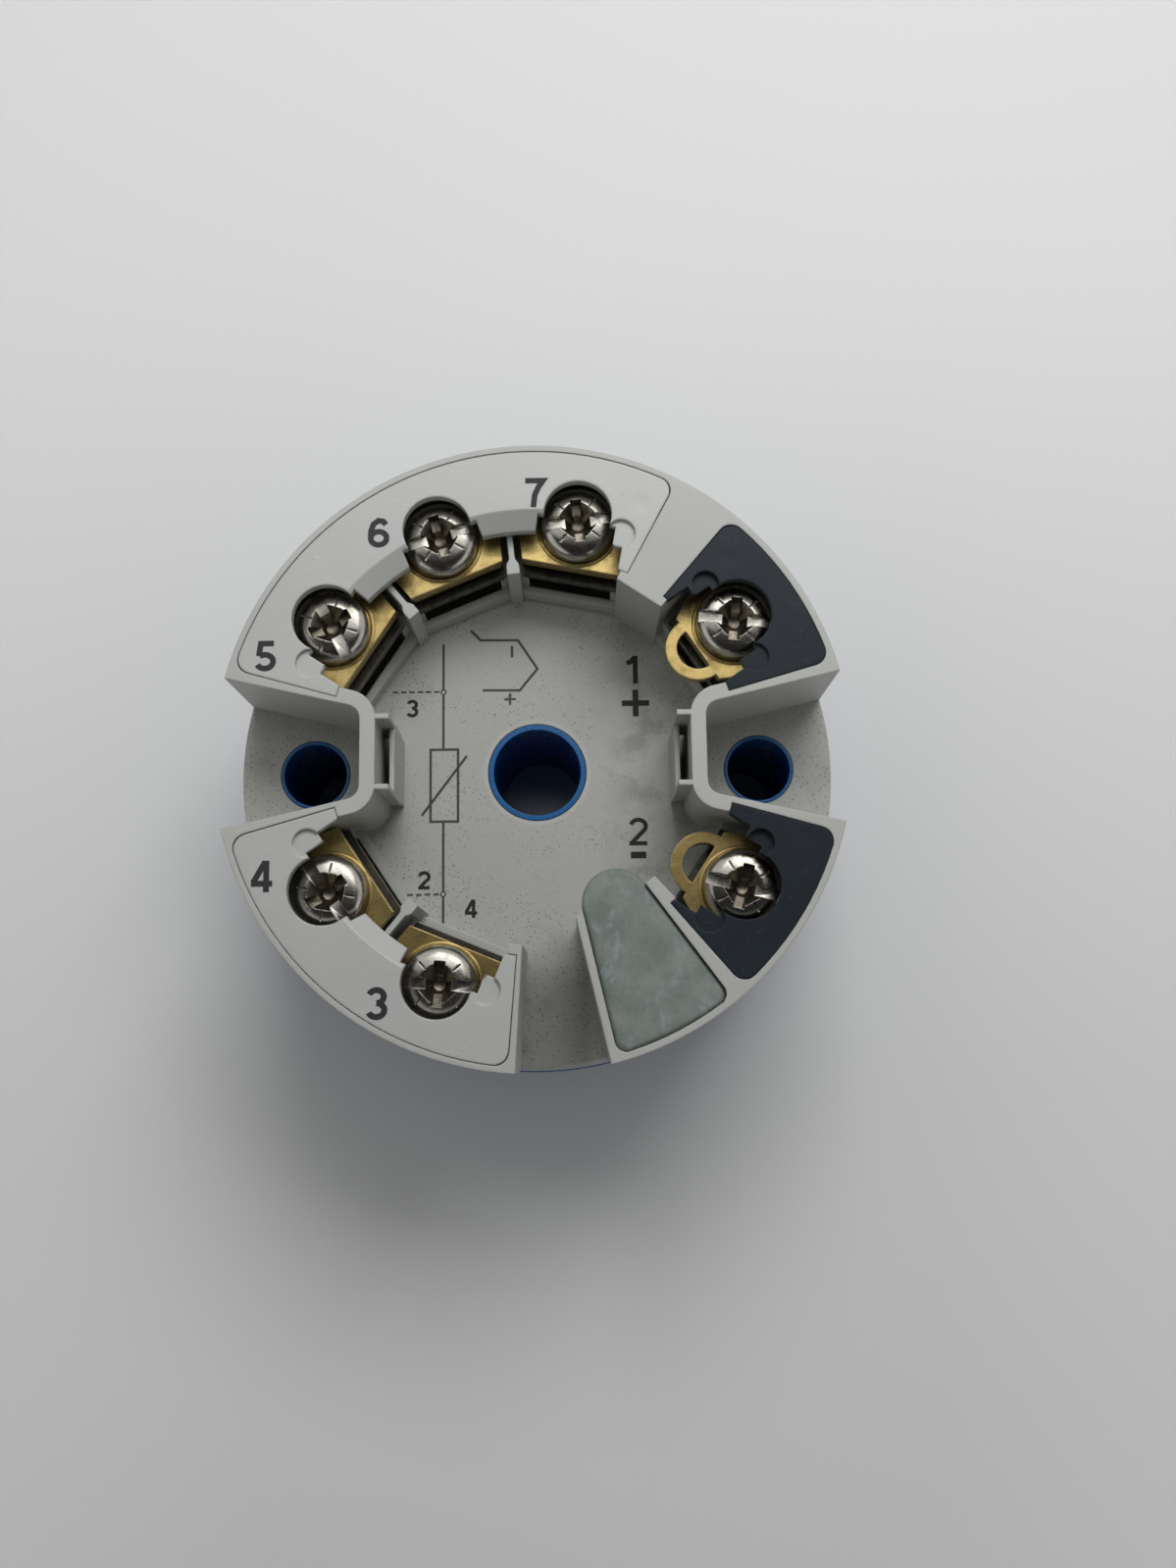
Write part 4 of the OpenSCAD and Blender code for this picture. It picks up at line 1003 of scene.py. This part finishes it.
def room():
    """Soft light from above and the north, before a pale wall that the camera and glossy surfaces see."""
    sky = Sky("room")
    up, north = sky.across("Z"), sky.across("Y")
    low_south = (1 - up.size().ramp(0.0, 0.6)) * (0 - north).ramp(0.0, 0.9)
    soft = 0.18 + 0.20 * up.ramp(-0.1, 1.0) + 0.10 * north.ramp(-0.4, 0.8) + 0.38 * low_south
    shown = sky.node("ShaderNodeLightPath", {}, {}, "Is Camera Ray")
    rays = shown.socket.node.outputs
    for kind in ("Is Glossy Ray", "Is Transmission Ray"):
        shown = shown.most(Wire(sky, rays[kind]))
    sky.wear(Color=sky.blend(shown, sky.blend(soft, (0, 0, 0), (1, 1, 1)), WALL_TONE))


def lamp(name, place, aim, size, power):
    """A soft lamp that neither the camera nor glossy surfaces see."""
    light = bpy.data.lights.new(name, "AREA")
    light.shape = "RECTANGLE"
    light.size, light.size_y = size
    light.energy = power
    obj = linked(name, light)
    obj.location = place
    obj.rotation_euler = (Vector(aim) - Vector(place)).to_track_quat("-Z", "Y").to_euler()
    obj.visible_camera = obj.visible_glossy = False
    return obj


def glossy_card(name, place, size, glow=0.0, solid=False):
    """A plane that only glossy surfaces see, unless it is solid: then it keeps light off too."""
    f = Finish(name)
    dark, light = ((k * CARD_TONE,) * 3 for k in (1, 1.4))
    f.wear(Base_Color=f.blend(f.noise(20 * MM, 3), dark, light), Roughness=0.7)
    f.shader.inputs["Emission Color"].default_value = (1, 1, 1, 1)
    f.shader.inputs["Emission Strength"].default_value = glow
    x, y = (v / 2 for v in size)
    card = mesh_piece(name, [(-x, -y, 0), (x, -y, 0), (x, y, 0), (-x, y, 0)], [(3, 2, 1, 0)], f.material)
    card.data.transform(place)
    card.visible_camera = False
    if not solid:
        card.visible_diffuse = card.visible_shadow = False


def light_and_cards():
    """A window to the north with its bright pane, a ceiling lamp, and what is dark over the object."""
    window = lamp("window", place=(0.05, 0.18, 0.26), aim=(0, 0, 0.01), size=(0.20, 0.14), power=0.58)
    lamp("ceiling", place=(0.0, 0.03, 0.45), aim=(0, 0.01, 0), size=(0.18, 0.18), power=0.30)
    bpy.context.view_layer.update()
    glossy_card("window_pane", window.matrix_world.copy(), size=(0.24, 0.17), glow=2.6)
    for name, (x0, x1, y0, y1) in CARD_SPANS.items():
        middle = Matrix.Translation(((x0 + x1) / 2 * MM, (y0 + y1) / 2 * MM, CARD_Z * MM))
        glossy_card(name, middle, ((x1 - x0) * MM, (y1 - y0) * MM), solid=name == "phone_card")
    upright = Matrix.Translation([v * MM for v in BODY_CARD_AT]) @ Matrix.Rotation(math.radians(90), 4, "X")
    glossy_card("body_card", upright, [v * MM for v in BODY_CARD_SIZE])


def camera():
    lens = bpy.data.cameras.new("camera")
    lens.lens = SENSOR_WIDTH * FOCAL_PIXELS / PHOTO_HEIGHT
    lens.sensor_width = SENSOR_WIDTH
    lens.clip_start = 0.005
    obj = linked("camera", lens)
    ax, ay, az = (math.radians(v) for v in CAMERA_TURNS)
    turn = Matrix.Rotation(az, 3, "Z") @ Matrix.Rotation(ax, 3, "X") @ Matrix.Rotation(ay, 3, "Y")
    obj.matrix_world = Matrix.Translation(CAMERA_AT) @ turn.transposed().to_4x4()
    bpy.context.scene.camera = obj


floor()
room()
light_and_cards()
camera()
bpy.context.scene.view_settings.view_transform = "Standard"
